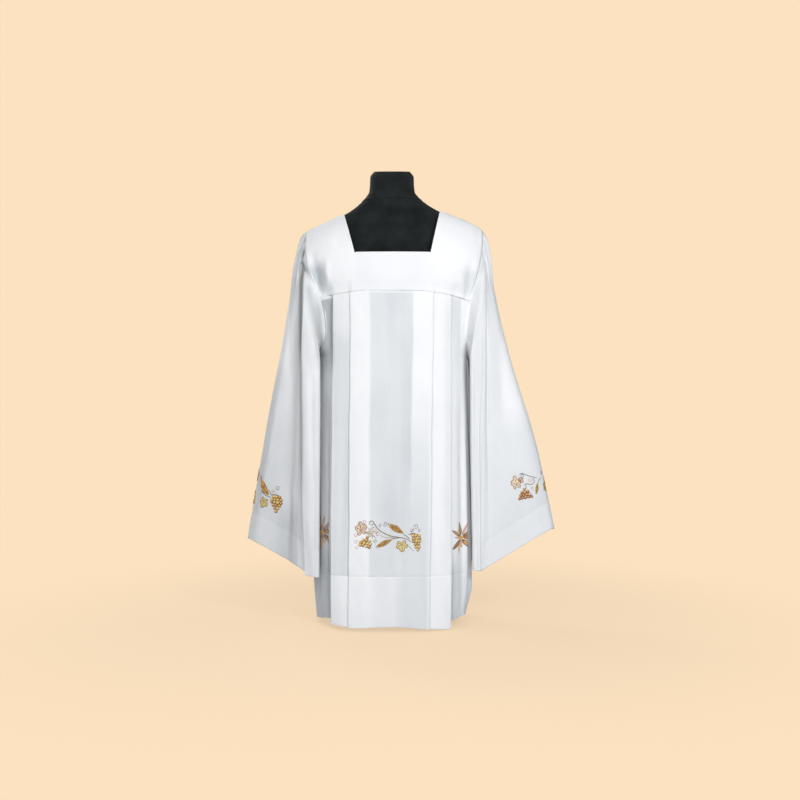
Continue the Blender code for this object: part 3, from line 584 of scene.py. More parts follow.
def cloth_material(name, thin, thick, rough, bump_strength):
    """White cotton: a plain weave, a slubby surface and a soft nap. The attribute "layers" is
    0 where one layer shows the dark form through it and 1 where several lie together, with
    painted shade and painted light added in places. Below 0, down to -1, it is painted shade."""
    material, nodes, links, shader = new_material(name)
    uv = node(nodes, "ShaderNodeUVMap", uv_map="cloth")
    # the "layers" attribute: layer tone, with painted shade and painted light added
    layers = node(nodes, "ShaderNodeAttribute", attribute_name="layers")
    place = node(nodes, "ShaderNodeTexCoord")

    # cloudy differences in how much shows through
    cloud = node(nodes, "ShaderNodeTexNoise", Scale=9.0, Detail=3.0, Roughness=0.5)
    links.new(place.outputs["Object"], cloud.inputs["Vector"])
    spread = node(nodes, "ShaderNodeMapRange", From_Min=0.3, From_Max=0.7, To_Min=-0.07, To_Max=0.07)
    links.new(cloud.outputs["Fac"], spread.inputs["Value"])
    add = node(nodes, "ShaderNodeMath", operation="ADD")
    links.new(layers.outputs["Fac"], add.inputs[0])
    links.new(spread.outputs["Result"], add.inputs[1])
    scaled = node(nodes, "ShaderNodeMapRange", From_Min=-1.0, From_Max=1.0)
    links.new(add.outputs[0], scaled.inputs["Value"])
    colour = node(nodes, "ShaderNodeValToRGB")
    stops = colour.color_ramp.elements
    # stop 0 is the colour of painted shade, darker and warmer than one layer
    stops[0].position, stops[0].color = 0.0, (0.535 * thin[0], 0.520 * thin[1], 0.500 * thin[2], 1)
    stops[1].position, stops[1].color = 1.0, (*thick, 1)
    single = stops.new(0.5)
    single.color = (*thin, 1)
    links.new(scaled.outputs["Result"], colour.inputs["Fac"])

    # threads of the plain weave
    warp = node(nodes, "ShaderNodeTexWave", Scale=480.0, Distortion=1.2, Detail=1.0)
    warp.bands_direction = "X"
    warp.inputs["Detail Scale"].default_value = 0.6
    weft = node(nodes, "ShaderNodeTexWave", Scale=480.0, Distortion=1.2, Detail=1.0)
    weft.bands_direction = "Y"
    weft.inputs["Detail Scale"].default_value = 0.6
    links.new(uv.outputs["UV"], warp.inputs["Vector"])
    links.new(uv.outputs["UV"], weft.inputs["Vector"])
    weave = node(nodes, "ShaderNodeMath", operation="MAXIMUM")
    links.new(warp.outputs["Fac"], weave.inputs[0])
    links.new(weft.outputs["Fac"], weave.inputs[1])

    # slubs: threads a little thicker for a few centimetres
    stretch = node(nodes, "ShaderNodeMapping")
    stretch.inputs["Scale"].default_value = (900.0, 38.0, 1.0)
    links.new(uv.outputs["UV"], stretch.inputs["Vector"])
    slub = node(nodes, "ShaderNodeTexNoise", Scale=1.0, Detail=2.0, Roughness=0.6)
    links.new(stretch.outputs["Vector"], slub.inputs["Vector"])
    shade = node(nodes, "ShaderNodeMapRange", From_Min=0.25, From_Max=0.8, To_Min=0.955, To_Max=1.0)
    links.new(slub.outputs["Fac"], shade.inputs["Value"])
    dyed = node(nodes, "ShaderNodeVectorMath", operation="SCALE")
    links.new(colour.outputs["Color"], dyed.inputs[0])
    links.new(shade.outputs["Result"], dyed.inputs["Scale"])
    links.new(dyed.outputs["Vector"], shader.inputs["Base Color"])

    # fine crumpling that ironing leaves
    crumple = node(nodes, "ShaderNodeTexNoise", Scale=42.0, Detail=4.0, Roughness=0.55)
    links.new(place.outputs["Object"], crumple.inputs["Vector"])
    soft = node(nodes, "ShaderNodeBump", Strength=0.22, Distance=0.004)
    links.new(crumple.outputs["Fac"], soft.inputs["Height"])
    fine = node(nodes, "ShaderNodeBump", Strength=bump_strength, Distance=0.0002)
    links.new(weave.outputs[0], fine.inputs["Height"])
    links.new(soft.outputs["Normal"], fine.inputs["Normal"])
    links.new(fine.outputs["Normal"], shader.inputs["Normal"])
    rougher = node(nodes, "ShaderNodeMapRange", To_Min=rough - 0.06, To_Max=rough + 0.06)
    links.new(slub.outputs["Fac"], rougher.inputs["Value"])
    links.new(rougher.outputs["Result"], shader.inputs["Roughness"])
    shader.inputs["Specular IOR Level"].default_value = 0.25
    shader.inputs["Sheen Weight"].default_value = 0.12
    shader.inputs["Sheen Roughness"].default_value = 0.45
    return material


def thread_material(name):
    """Embroidery and sewing thread: satin stitches lie side by side, with a soft gloss."""
    material, nodes, links, shader = new_material(name)
    uv = node(nodes, "ShaderNodeUVMap", uv_map="cloth")
    colour = node(nodes, "ShaderNodeVertexColor", layer_name="thread")
    wave = node(nodes, "ShaderNodeTexWave", Scale=380.0, Distortion=0.6, Detail=1.0)
    wave.bands_direction = "X"
    links.new(uv.outputs["UV"], wave.inputs["Vector"])
    shade = node(nodes, "ShaderNodeMapRange", To_Min=0.78, To_Max=1.06)
    links.new(wave.outputs["Fac"], shade.inputs["Value"])
    dyed = node(nodes, "ShaderNodeVectorMath", operation="SCALE")
    links.new(colour.outputs["Color"], dyed.inputs[0])
    links.new(shade.outputs["Result"], dyed.inputs["Scale"])
    links.new(dyed.outputs["Vector"], shader.inputs["Base Color"])
    relief = node(nodes, "ShaderNodeBump", Strength=0.55, Distance=0.0003)
    links.new(wave.outputs["Fac"], relief.inputs["Height"])
    links.new(relief.outputs["Normal"], shader.inputs["Normal"])
    shader.inputs["Roughness"].default_value = 0.42
    shader.inputs["Specular IOR Level"].default_value = 0.45
    shader.inputs["Sheen Weight"].default_value = 0.15
    return material


def jersey_material():
    """Black knitted jersey: small columns of loops and a dusty nap."""
    material, nodes, links, shader = new_material("jersey_cover")
    uv = node(nodes, "ShaderNodeUVMap", uv_map="cloth")
    column = node(nodes, "ShaderNodeTexWave", Scale=260.0, Distortion=0.8, Detail=1.0)
    column.bands_direction = "X"
    row = node(nodes, "ShaderNodeTexWave", Scale=330.0, Distortion=1.6, Detail=1.0)
    row.bands_direction = "Y"
    links.new(uv.outputs["UV"], column.inputs["Vector"])
    links.new(uv.outputs["UV"], row.inputs["Vector"])
    loops = node(nodes, "ShaderNodeMath", operation="MULTIPLY")
    links.new(column.outputs["Fac"], loops.inputs[0])
    links.new(row.outputs["Fac"], loops.inputs[1])
    place = node(nodes, "ShaderNodeTexCoord")
    dust = node(nodes, "ShaderNodeTexNoise", Scale=26.0, Detail=5.0, Roughness=0.6)
    links.new(place.outputs["Object"], dust.inputs["Vector"])
    ramp = node(nodes, "ShaderNodeValToRGB")
    ramp.color_ramp.elements[0].position = 0.32
    ramp.color_ramp.elements[0].color = (*srgb(21, 24, 24), 1)
    ramp.color_ramp.elements[1].position = 0.78
    ramp.color_ramp.elements[1].color = (*srgb(38, 43, 43), 1)
    links.new(dust.outputs["Fac"], ramp.inputs["Fac"])
    links.new(ramp.outputs["Color"], shader.inputs["Base Color"])
    knit = node(nodes, "ShaderNodeBump", Strength=0.5, Distance=0.0004)
    links.new(loops.outputs[0], knit.inputs["Height"])
    links.new(knit.outputs["Normal"], shader.inputs["Normal"])
    rougher = node(nodes, "ShaderNodeMapRange", To_Min=0.82, To_Max=0.98)
    links.new(dust.outputs["Fac"], rougher.inputs["Value"])
    links.new(rougher.outputs["Result"], shader.inputs["Roughness"])
    shader.inputs["Specular IOR Level"].default_value = 0.12
    shader.inputs["Sheen Weight"].default_value = 0.04
    shader.inputs["Sheen Roughness"].default_value = 0.5
    return material


def steel_material():
    material, nodes, links, shader = new_material("brushed_steel")
    place = node(nodes, "ShaderNodeTexCoord")
    stretch = node(nodes, "ShaderNodeMapping")
    stretch.inputs["Scale"].default_value = (60.0, 60.0, 1800.0)
    links.new(place.outputs["Object"], stretch.inputs["Vector"])
    brush = node(nodes, "ShaderNodeTexNoise", Scale=1.0, Detail=4.0, Roughness=0.7)
    links.new(stretch.outputs["Vector"], brush.inputs["Vector"])
    ramp = node(nodes, "ShaderNodeValToRGB")
    ramp.color_ramp.elements[0].color = (*srgb(150, 151, 153), 1)
    ramp.color_ramp.elements[1].color = (*srgb(196, 197, 199), 1)
    links.new(brush.outputs["Fac"], ramp.inputs["Fac"])
    links.new(ramp.outputs["Color"], shader.inputs["Base Color"])
    rougher = node(nodes, "ShaderNodeMapRange", To_Min=0.22, To_Max=0.42)
    links.new(brush.outputs["Fac"], rougher.inputs["Value"])
    links.new(rougher.outputs["Result"], shader.inputs["Roughness"])
    lines = node(nodes, "ShaderNodeBump", Strength=0.15, Distance=0.0002)
    links.new(brush.outputs["Fac"], lines.inputs["Height"])
    links.new(lines.outputs["Normal"], shader.inputs["Normal"])
    shader.inputs["Metallic"].default_value = 1.0
    return material


def lacquer_material():
    material, nodes, links, shader = new_material("pale_lacquer")
    place = node(nodes, "ShaderNodeTexCoord")
    mottle = node(nodes, "ShaderNodeTexNoise", Scale=180.0, Detail=3.0, Roughness=0.6)
    links.new(place.outputs["Object"], mottle.inputs["Vector"])
    ramp = node(nodes, "ShaderNodeValToRGB")
    ramp.color_ramp.elements[0].color = (*srgb(196, 188, 178), 1)
    ramp.color_ramp.elements[1].color = (*srgb(214, 207, 197), 1)
    links.new(mottle.outputs["Fac"], ramp.inputs["Fac"])
    links.new(ramp.outputs["Color"], shader.inputs["Base Color"])
    peel = node(nodes, "ShaderNodeBump", Strength=0.12, Distance=0.0003)
    links.new(mottle.outputs["Fac"], peel.inputs["Height"])
    links.new(peel.outputs["Normal"], shader.inputs["Normal"])
    rougher = node(nodes, "ShaderNodeMapRange", To_Min=0.3, To_Max=0.45)
    links.new(mottle.outputs["Fac"], rougher.inputs["Value"])
    links.new(rougher.outputs["Result"], shader.inputs["Roughness"])
    return material


white = cloth_material("white_cotton", srgb(205, 210, 214), srgb(243, 244, 246), 0.84, 0.35)
# painted shade: a warmer copy of the white cotton for the wearer's right sleeve, which lies in warmer shade away from
# the cool key light
white_painted_warm_shade = cloth_material("white_cotton_painted_warm_shade", srgb(206, 209, 211), srgb(244, 245, 247), 0.84, 0.35)
thread = thread_material("thread")
jersey = jersey_material()


# ------------------------------------------------------------------ the body's outline
LEVELS = np.arange(0.0, 0.8501, 0.005)
STEPS = 721
_outlines = {}
for _face in ("front", "back"):
    _a = read_table(BODY_OUTLINE, "z", "half_width", LEVELS)
    _b = read_table(BODY_OUTLINE, "z", _face + "_depth", LEVELS)
    _n = read_table(BODY_OUTLINE, "z", "corner", LEVELS)
    _angle = np.linspace(0, math.pi / 2, 2881)
    _xs, _ys, _length = [], [], []
    for _i in range(len(LEVELS)):
        _x = _a[_i] * np.sin(_angle) ** (2 / _n[_i])
        _y = _b[_i] * np.clip(np.cos(_angle), 0, None) ** (2 / _n[_i])
        _s = np.concatenate([[0], np.cumsum(np.hypot(np.diff(_x), np.diff(_y)))])
        _f = np.linspace(0, _s[-1], STEPS)
        _xs.append(np.interp(_f, _s, _x))
        _ys.append(np.interp(_f, _s, _y))
        _length.append(_s[-1])
    _outlines[_face] = (np.array(_xs), np.array(_ys), np.array(_length))


def outline_length(face, z):
    return np.interp(z, LEVELS, _outlines[face][2])


def arc_at_x(z, face, x):
    """How far round from the middle the outline reaches a distance out, at one height."""
    xs, _, length = _outlines[face]
    level = min(max(z / 0.005, 0), len(LEVELS) - 1.001)
    i, t = int(level), level - int(level)
    row = xs[i] * (1 - t) + xs[i + 1] * t
    return float(np.interp(x, row, np.linspace(0, 1, STEPS))) * float(outline_length(face, z))


def outline_point(z, face, sign, s, inset):
    """Points of the outline s round from the middle, moved in by inset."""
    xs, ys, _ = _outlines[face]
    level = np.clip(np.asarray(z, float) / 0.005, 0, len(LEVELS) - 1.001)
    i = level.astype(int)
    t = level - i
    f = np.clip(s / outline_length(face, z), 0, 1) * (STEPS - 1.001)
    k = f.astype(int)
    u = f - k

    def blend(g):
        return (g[i, k] * (1 - u) + g[i, k + 1] * u) * (1 - t) + (
            g[i + 1, k] * (1 - u) + g[i + 1, k + 1] * u
        ) * t

    x, y = blend(xs), blend(ys)
    a = read_table(BODY_OUTLINE, "z", "half_width", z)
    b = read_table(BODY_OUTLINE, "z", face + "_depth", z)
    n = read_table(BODY_OUTLINE, "z", "corner", z)
    nx, ny = np.clip(x, 0, None) ** (n - 1) / a**n, np.clip(y, 0, None) ** (n - 1) / b**n
    size = np.hypot(nx, ny)
    x = x - inset * nx / size
    y = y - inset * ny / size
    forward = -1.0 if face == "front" else 1.0
    return np.stack([sign * x, forward * y, np.broadcast_to(z, x.shape)], axis=-1)


def seam_z(x):
    return SEAM_Z - SEAM_DROOP * np.abs(x) ** SEAM_POWER


# ------------------------------------------------------------------ the pleated body
def half_path(z, face, side, share):
    """One half of a body row, from the middle to the side: distance round, layers in, and
    whether the cloth is seen there."""
    table = FRONT_PLEATS if face == "front" else BACK_PLEATS
    step = mix(PLEAT_STEP_HEM, PLEAT_STEP_TOP, share)
    r = step / 2
    inner, outer = table[side]
    seed = {"right": 0.0, "left": 2.1}[side] + (4.0 if face == "back" else 0.0)
    wave = 0.0007 * math.sin(17 * z + seed) + 0.0005 * math.sin(41 * z + 2 * seed)
    end = float(outline_length(face, z)) - float(read_table(BODY_ARMHOLE, "z", side, z))
    fold_a = arc_at_x(z, face, mix(inner.hem, inner.top, share)) + wave
    fold_b = arc_at_x(z, face, mix(outer.hem, outer.top, share)) - 0.7 * wave
    back_a = fold_a - inner.under
    back_b = fold_b - outer.under
    theta = np.linspace(0, math.pi, 7)[1:-1]

    def run(a, b, n, layer, seen, first=True):
        t = np.linspace(0, 1, n + 1)
        t = t if first else t[1:]
        return [(mix(a, b, q), layer, seen) for q in t]

    def turn(at, layer, way):
        return [
            (at - way * r + way * r * math.sin(q), layer + (1 - math.cos(q)) / 2, 0) for q in theta
        ]

    path = run(0.0, back_a, 13, 0, 1)
    path += run(back_a, fold_a - r, 12, 0, 1, False)
    path += turn(fold_a, 0, 1)
    path += run(fold_a - r, back_a + r, 6, 1, 0)
    path += turn(back_a, 1, -1)
    path += run(back_a + r, fold_a, 6, 2, 0)
    path += run(fold_a, fold_b - r, 13, 2, 1, False)
    path += turn(fold_b, 2, 1)
    path += run(fold_b - r, back_b + r, 6, 3, 0)
    path += turn(back_b, 3, -1)
    path += run(back_b + r, fold_b, 6, 4, 0)
    for t in np.linspace(0, 1, 27)[1:]:
        path.append((mix(fold_b, end, t), 4.0 * (1 - float(ease(t))), 1))
    s, layer, seen = (np.array(v, float) for v in zip(*path))
    # how much of the side panel's fall each point has
    fall = np.zeros(len(s))
    first = len(s) - 33
    at = (s[first:] - back_b) / (fold_b - back_b)
    past = (s[first:] - fold_b) / (end - fold_b)
    fall[first:] = np.where(
        past > 0, np.interp(past, (0, 0.14, 0.33, 0.66, 1), (0.85, 0.98, 1, 0.45, 0)), 0.85 * ease(at)
    )
    return s, layer * step, layer, seen, end, (back_a, fold_a, back_b, fold_b), fall


def body_rows():
    rows = list(np.linspace(HEM_Z, UNDERARM_Z, 102))
    rows += list(np.linspace(UNDERARM_Z, SEAM_Z, 30)[1:])
    for offset in (-0.0045, -0.003, -0.0015, 0.0, 0.0015, 0.003):
        rows.append(HEM_LINE + offset)
    rows += [HEM_Z + 0.001, HEM_Z + 0.003]
    return np.array(sorted(rows))


def build_body(face):
    rows = body_rows()
    name = "front_body" if face == "front" else "back_body"
    points, arcs, layers, seens, tones = [], [], [], [], []
    hem = FRONT_HEM if face == "front" else BACK_HEM
    for nominal in rows:
        share = (nominal - HEM_Z) / (SEAM_Z - HEM_Z)
        halves = []
        for side, sign in (("right", -1.0), ("left", 1.0)):
            s, inset, layer, seen, end, marks, fall = half_path(nominal, face, side, share)
            panel = SIDE_PANELS[face, side]
            inset = inset + panel.recess * fall * ease((1 - share) / 0.5)
            past = (s - marks[3]) / (end - marks[3])
            swell = np.interp(past, (0, 0.14, 0.33, 0.66, 1), (0, 0.5, 1, 0.45, 0))
            inset = inset - panel.swell * swell * ease((1 - share) / 0.5)
            low = 1 - ease((nominal - HEM_Z) / 0.085)
            inset = inset + panel.tuck * low * ease((s - marks[3]) / (end - marks[3]))
            flat = outline_point(np.full(len(s), nominal), face, sign, s, 0.0)
            x = flat[:, 0]
            z = np.full(len(s), nominal)
            z = z + panel.lift * fall * max(0.0, 1 - (nominal - HEM_Z) / (0.14 - HEM_Z))
            z = z + read_table(hem, "x", "lift", x) * max(0.0, 1 - (nominal - HEM_Z) / (0.14 - HEM_Z))
            # the layers of a pleat don't end level
            z = z + (0.0016 * np.minimum(layer, 1) - 0.0006 * (layer > 1.5)) * max(
                0.0, 1 - (nominal - HEM_Z) / 0.05
            )
            if nominal > UNDERARM_Z:
                up = (nominal - UNDERARM_Z) / (SEAM_Z - UNDERARM_Z)
                z = nominal + (seam_z(x) - SEAM_Z) * up
            full = outline_length(face, z)
            last = s > end - 1e-6
            here = np.where(last, full - read_table(BODY_ARMHOLE, "z", side, z), np.minimum(s, full))
            here = np.minimum(here, full - RIDGE_GAP)
            from_side = full - here
            signed = sign * here
            # folds and crumpling, the same for all layers of a pleat, so that none crosses
            out = crease_field(BODY_CREASES[face], signed, np.full(len(s), nominal), 0.16)
            seed = 11 if face == "front" else 23
            out += 0.0011 * soft_noise(signed / 0.034 + 31, z / 0.17 + 7, seed)
            out += 0.00045 * soft_noise(signed / 0.012 + 11, z / 0.075 + 3, seed + 1)
            out += 0.00022 * soft_noise(signed / 0.0075 + 40, z / 0.02 + 5, seed + 2)
            # the hem is two layers, so it stands a little prouder, and the stitching pulls it in
            below = ease((HEM_LINE - nominal) / 0.003)
            out += 0.0004 * below - 0.0008 * bump(nominal - HEM_LINE, 0.0022)
            out += 0.0005 * bump(nominal - HEM_LINE, 0.012) * soft_noise(signed / 0.010, z / 0.05, seed + 3)
            out *= ease(from_side / 0.022) * (1 - 0.85 * ease((nominal - 0.775) / 0.045))
            if nominal > UNDERARM_Z:
                out *= ease((end - s) / 0.010)
            p = outline_point(z, face, sign, here, CLOTH / 2 + inset - out)
            # how many layers lie behind, with painted shade and painted light added in places
            back_a, fold_a, back_b, fold_b = marks
            # painted light: the front's side panel on the wearer's left is coloured lighter next to the sleeve, where
            # it lies in shade
            painted_light_by_sleeve = 0.60 * ease((p[:, 0] - 0.165) / 0.006) if face == "front" else 0
            single = 0.36 + 0.24 * soft_noise(signed / 0.05 + 3, z / 0.085 + 9, seed + 4)
            single = single + 0.10 * ease((abs(nominal - 0.47) - 0.12) / 0.2)
            single = single - 0.22 * ease((nominal - 0.600) / 0.120) * ease((signed + 0.020) / 0.020)
            single = single - 0.10 * ease((signed - 0.020) / 0.006)
            centre = ease((here - back_a + 0.002) / 0.003)
            # painted shade: on the wearer's right the side panel is coloured darker towards the armhole
            panel_tone = 0.66 - 1.12 * ease((nominal - 0.59) / 0.09) if side == "right" else 0.58
            # painted shade: the band on the wearer's right is coloured darker, less so near the top
            band_tone = 0.52 + 0.40 * ease((nominal - 0.69) / 0.06) if side == "right" else 0.90
            # painted shade: the strip on the wearer's left is coloured darker lower down
            strip_tone = 0.93 if side == "right" else 0.95 - 0.52 * ease((0.64 - nominal) / 0.34)
            tone = np.where(
                here <= fold_a + 1e-6,
                mix(single, strip_tone, centre),
                np.where(
                    here <= fold_b + 1e-6,
                    band_tone + 0.12 * soft_noise(signed / 0.012, z / 0.16, seed + 6),
                    panel_tone + painted_light_by_sleeve + 0.16 * soft_noise(signed / 0.02, z / 0.1, seed + 5),
                ),
            )
            # the fold edges are lighter: partly the layers doubled in the fold, partly a painted highlight
            for fold, width in ((fold_a, 0.0030), (fold_b, 0.0020)):
                tone = np.where(seen * (layer < 0.6 if fold == fold_a else layer < 2.6) > 0,
                                mix(tone, 1.0, bump(here - fold, 0.005)), tone)
            # painted shadow: a thin dark line on the band just beside the centre panel's fold
            fold_painted_shadow = (layer > 1.9) & (layer < 2.1) & (here > fold_a - 0.001)
            tone = np.where(fold_painted_shadow, tone * (1 - bump(here - fold_a, 0.0026)), tone)
            # the side panel lies back under the outer fold, in its shade
            under = here > fold_b + 1e-6
            near_hem = ease((0.23 - nominal) / 0.10)
            depth = 1.30 - 0.20 * near_hem if side == "right" else 0.40 + 0.45 * near_hem
            tone = np.where(under, tone - depth * bump(here - fold_b, 0.0040 + 0.0100 * near_hem), tone)
            tone = np.where(under, tone - (0.75 if side == "right" else 0.48) * near_hem, tone)
            inner = 0.80 + 0.18 * ease((here - 0.03) / 0.03) if side == "right" else 0.80 - 0.36 * ease(here / 0.03)
            hem_tone = np.where(under, tone, np.maximum(tone, np.where(here > fold_a, 0.98, inner)))
            tone = mix(tone, hem_tone, below)
            tone = mix(tone, np.maximum(tone, 0.7), ease((nominal - 0.812) / 0.006))
            halves.append((p, signed, layer, seen, tone))
        right, left = halves
        for store, k in ((points, 0), (arcs, 1), (layers, 2), (seens, 3), (tones, 4)):
            store.append(np.concatenate([right[k][:0:-1], left[k]], axis=0))
    points, arcs, layers, seens, tones = map(np.array, (points, arcs, layers, seens, tones))
    points[..., 2] -= SINK
    flip = face == "back"
    normals = grid_normals(points, False, flip)
    count = points.shape[1]
    obj = make_object(name + "_cloth", points.reshape(-1, 3), grid_faces(len(rows), count, False, flip), white)
    along = np.concatenate(
        [np.zeros((len(rows), 1)), np.cumsum(np.linalg.norm(np.diff(points, axis=1), axis=2), axis=1)],
        axis=1,
    )
    add_uv(obj, np.stack([along, np.broadcast_to(rows[:, None], along.shape)], -1).reshape(-1, 2))
    # the "layers" attribute carries the layer tone with its painted shade and painted light
    add_value(obj, "layers", tones)
    shell(obj)
    cloth = Cloth(points, normals, False)
    cloth.rows, cloth.arcs, cloth.seen, cloth.layer = rows, arcs, seens, layers
    return obj, cloth


def body_place(cloth, s, z):
    """Row and column of the body's visible cloth at a distance round and a height."""
    r = np.interp(z, cloth.rows, np.arange(len(cloth.rows)))
    middle = int(np.clip(np.mean(r), 0, len(cloth.rows) - 1))
    seen = np.where(cloth.seen[middle] > 0)[0]
    order = np.argsort(cloth.arcs[middle][seen], kind="stable")
    return r, np.interp(s, cloth.arcs[middle][seen][order], seen[order])


# ------------------------------------------------------------------ the CAD's own edge rings
STRAP_SHARES = (1.0, 0.972, 0.915, 0.83, 0.71, 0.56)
BAND_ROWS = 4


def shoulder_z(x):
    x = np.asarray(x, float)
    return np.where(
        x > 0,
        read_table(SHOULDER_LINE, "out", "left", np.abs(x)),
        read_table(SHOULDER_LINE, "out", "right", np.abs(x)),
    )


def yoke_point(face, x, share, out=0.0, step=True):
    """The yoke's surface: share is 0 at the body seam and 1 on the shoulder line."""
    x, share = np.broadcast_arrays(np.asarray(x, float), np.asarray(share, float))
    low = seam_z(x)
    z = mix(low, shoulder_z(x), share)
    at = np.minimum(low, z)
    a = read_table(BODY_OUTLINE, "z", "half_width", at)
    b = read_table(BODY_OUTLINE, "z", face + "_depth", at)
    n = read_table(BODY_OUTLINE, "z", "corner", at)
    spread = ease(share / 0.42)
    a = mix(a, 0.262, spread)
    n = mix(n, 2.4, spread)
    b = b * np.sqrt(np.clip(1 - np.clip(share, 0, 1) ** 2.5, 0, None))
    y = b * np.clip(1 - (np.abs(x) / a) ** n, 0, None) ** (1 / n)
    dent = sum(
        h.depth * bump(x - h.x, h.wide) * bump(z - h.z, h.tall) for h in HOLLOWS if h.face == face
    )
    y = np.maximum(y - dent - CLOTH / 2 + out, RIDGE_GAP)
    return np.stack([x, -y if face == "front" else y, z - CLOTH / 2 * share], axis=-1)


def neck_share(face, x):
    level = FRONT_NECK_Z if face == "front" else BACK_NECK_Z
    low = seam_z(x)
    return (level - low) / (shoulder_z(x) - low)


def body_corner(face, side):
    """How far out the body's top row ends."""
    sign = 1.0 if side == "left" else -1.0
    s = half_path(SEAM_Z, face, side, 1.0)[0]
    flat = outline_point(np.array([SEAM_Z]), face, sign, s[-1:], 0.0)
    z = np.array([seam_z(flat[0, 0]) - GAP])
    here = outline_length(face, z) - read_table(BODY_ARMHOLE, "z", side, z)
    return abs(float(outline_point(z, face, sign, here, CLOTH / 2)[0, 0]))


def outer_x(side, share, corner):
    sign = 1.0 if side == "left" else -1.0
    share = np.asarray(share, float)
    start = read_table(YOKE_ARMHOLE, "z", side, seam_z(corner))
    x = np.full(share.shape, corner)
    for _ in range(6):
        z = mix(seam_z(x), shoulder_z(sign * x), share)
        x = read_table(YOKE_ARMHOLE, "z", side, z) + (corner - start) * (1 - ease(share / 0.5))
    return sign * x


def inner_x(side, t):
    sign = 1.0 if side == "left" else -1.0
    return sign * mix(NECK_HALF_LOW, NECK_HALF_TOP, t) + NECK_SHIFT * (1 - t)


def edge_points(face, side):
    """The armhole edge of one face, from the shoulder down to the underarm, and the points
    a column further in, as the CAD has them."""
    corner = body_corner(face, side)
    edge_share = float(neck_share(face, NECK_HALF_LOW))
    edge = []
    total = len(STRAP_SHARES) + BAND_ROWS + 1
    for k in range(total):
        if k < len(STRAP_SHARES):
            t = (STRAP_SHARES[k] - 0.40) / 0.60
            share = mix(edge_share, 1.0, t)
        else:
            t = 0.0
            share = edge_share * (total - 1 - k) / BAND_ROWS
        a, b = float(outer_x(side, share, corner)), float(inner_x(side, t))
        edge.append((yoke_point(face, a, share), yoke_point(face, mix(a, b, 1 / 7), share)))
    sign = 1.0 if side == "left" else -1.0
    for nominal in reversed(ARMHOLE_ROWS):
        share = (nominal - HEM_Z) / (SEAM_Z - HEM_Z)
        s, _, _, _, end, marks, _ = half_path(nominal, face, side, share)
        pair = []
        for at, layer, fall in (
            (s[-1], 0.0, 0.0), (mix(marks[3], end, 2 / 3), 4 * (1 - float(ease(2 / 3))), 0.45)
        ):
            flat = outline_point(np.array([nominal]), face, sign, np.array([at]), 0.0)
            up = (nominal - UNDERARM_Z) / (SEAM_Z - UNDERARM_Z)
            z = np.array([nominal + (seam_z(flat[0, 0]) - SEAM_Z) * up])
            full = outline_length(face, z)
            here = full - read_table(BODY_ARMHOLE, "z", side, z) if at == s[-1] else np.array([at])
            here = np.minimum(here, full - RIDGE_GAP)
            depth = CLOTH / 2 + layer * mix(PLEAT_STEP_HEM, PLEAT_STEP_TOP, share)
            depth += SIDE_PANELS[face, side].recess * fall * ease((1 - share) / 0.5)
            pair.append(outline_point(z, face, sign, here, depth)[0])
        edge.append(tuple(pair))
    return edge


def armhole_ring(side):
    """The edge that a sleeve is sewn to, its outward normals and the way back into the piece."""
    front, back = edge_points("front", side), edge_points("back", side)
    points = np.array([p for p, _ in front] + [p for p, _ in back[-2:0:-1]])
    inward = np.array([q for _, q in front] + [q for _, q in back[-2:0:-1]])
    points[0] = (front[0][0] + back[0][0]) / 2
    points[len(front) - 1] = (front[-1][0] + back[-1][0]) / 2
    along = np.roll(points, -1, axis=0) - np.roll(points, 1, axis=0)
    across = points - inward
    across[0] = (1 if side == "left" else -1, 0, -0.45)
    across[len(front) - 1] = (0, 0, 1)
    normals = unit(np.cross(across, along))
    centre = np.stack([0 * points[:, 0], 0 * points[:, 0], points[:, 2] - 0.05], -1)
    wrong = ((normals * (points - centre)).sum(1)) < 0
    normals[wrong] *= -1
    return points, normals, -unit(across)


# ------------------------------------------------------------------ the yoke
CORNERS = {(face, side): body_corner(face, side) for face in ("front", "back") for side in ("right", "left")}
STRAP_COLUMNS = 26
MIDDLE_COLUMNS = 46
STRAP_ROWS = 30
LOWER_ROWS = 24


def pleat_steps(face, x):
    """How far the pleats hold the yoke's lower edge in, at a distance out."""
    table = FRONT_PLEATS if face == "front" else BACK_PLEATS
    total = np.zeros_like(x)
    for side, sign in (("right", -1.0), ("left", 1.0)):
        inner, outer = table[side]
        d = x * sign
        here = 2 * PLEAT_STEP_TOP * ease((d - inner.top + 0.004) / 0.010)
        here = here + 2 * PLEAT_STEP_TOP * ease((d - outer.top + 0.004) / 0.010)
        here = here * (1 - ease((d - outer.top - 0.004) / 0.034))
        total = total + np.where(d > 0, here, 0)
    return total


def yoke_surface(face, x, share, edge):
    """A yoke point with its folds. edge is how far it lies from the neckline's edge."""
    base = yoke_point(face, x, share)
    z = base[..., 2]
    seed = 31 if face == "front" else 43
    out = crease_field(YOKE_CREASES[face], x, z, 0.14)
    out = out + 0.0008 * soft_noise(x / 0.05 + 9, z / 0.06 + 5, seed)
    out = out + 0.00035 * soft_noise(x / 0.016 + 19, z / 0.022 + 5, seed + 1)
    out = out * ease((1 - share) / 0.05)
    # the sewn edge at the armhole keeps its place
    rim = np.where(
        x > 0,
        np.abs(outer_x("left", share, CORNERS[face, "left"])),
        np.abs(outer_x("right", share, CORNERS[face, "right"])),
    )
    out = out * ease((rim - np.abs(x)) / 0.011)
    out = out + 0.00035 * (1 - ease((edge - 0.0045) / 0.0012))
    out = out - 0.0004 * bump(edge - 0.0056, 0.0010)
    low = 1 - ease(share / 0.16)
    out = out - pleat_steps(face, x) * low
    # the lapped lower edge
    out = out + 0.0009 * (1 - ease((share - 0.012) / 0.02))
    return yoke_point(face, x, share, out), z


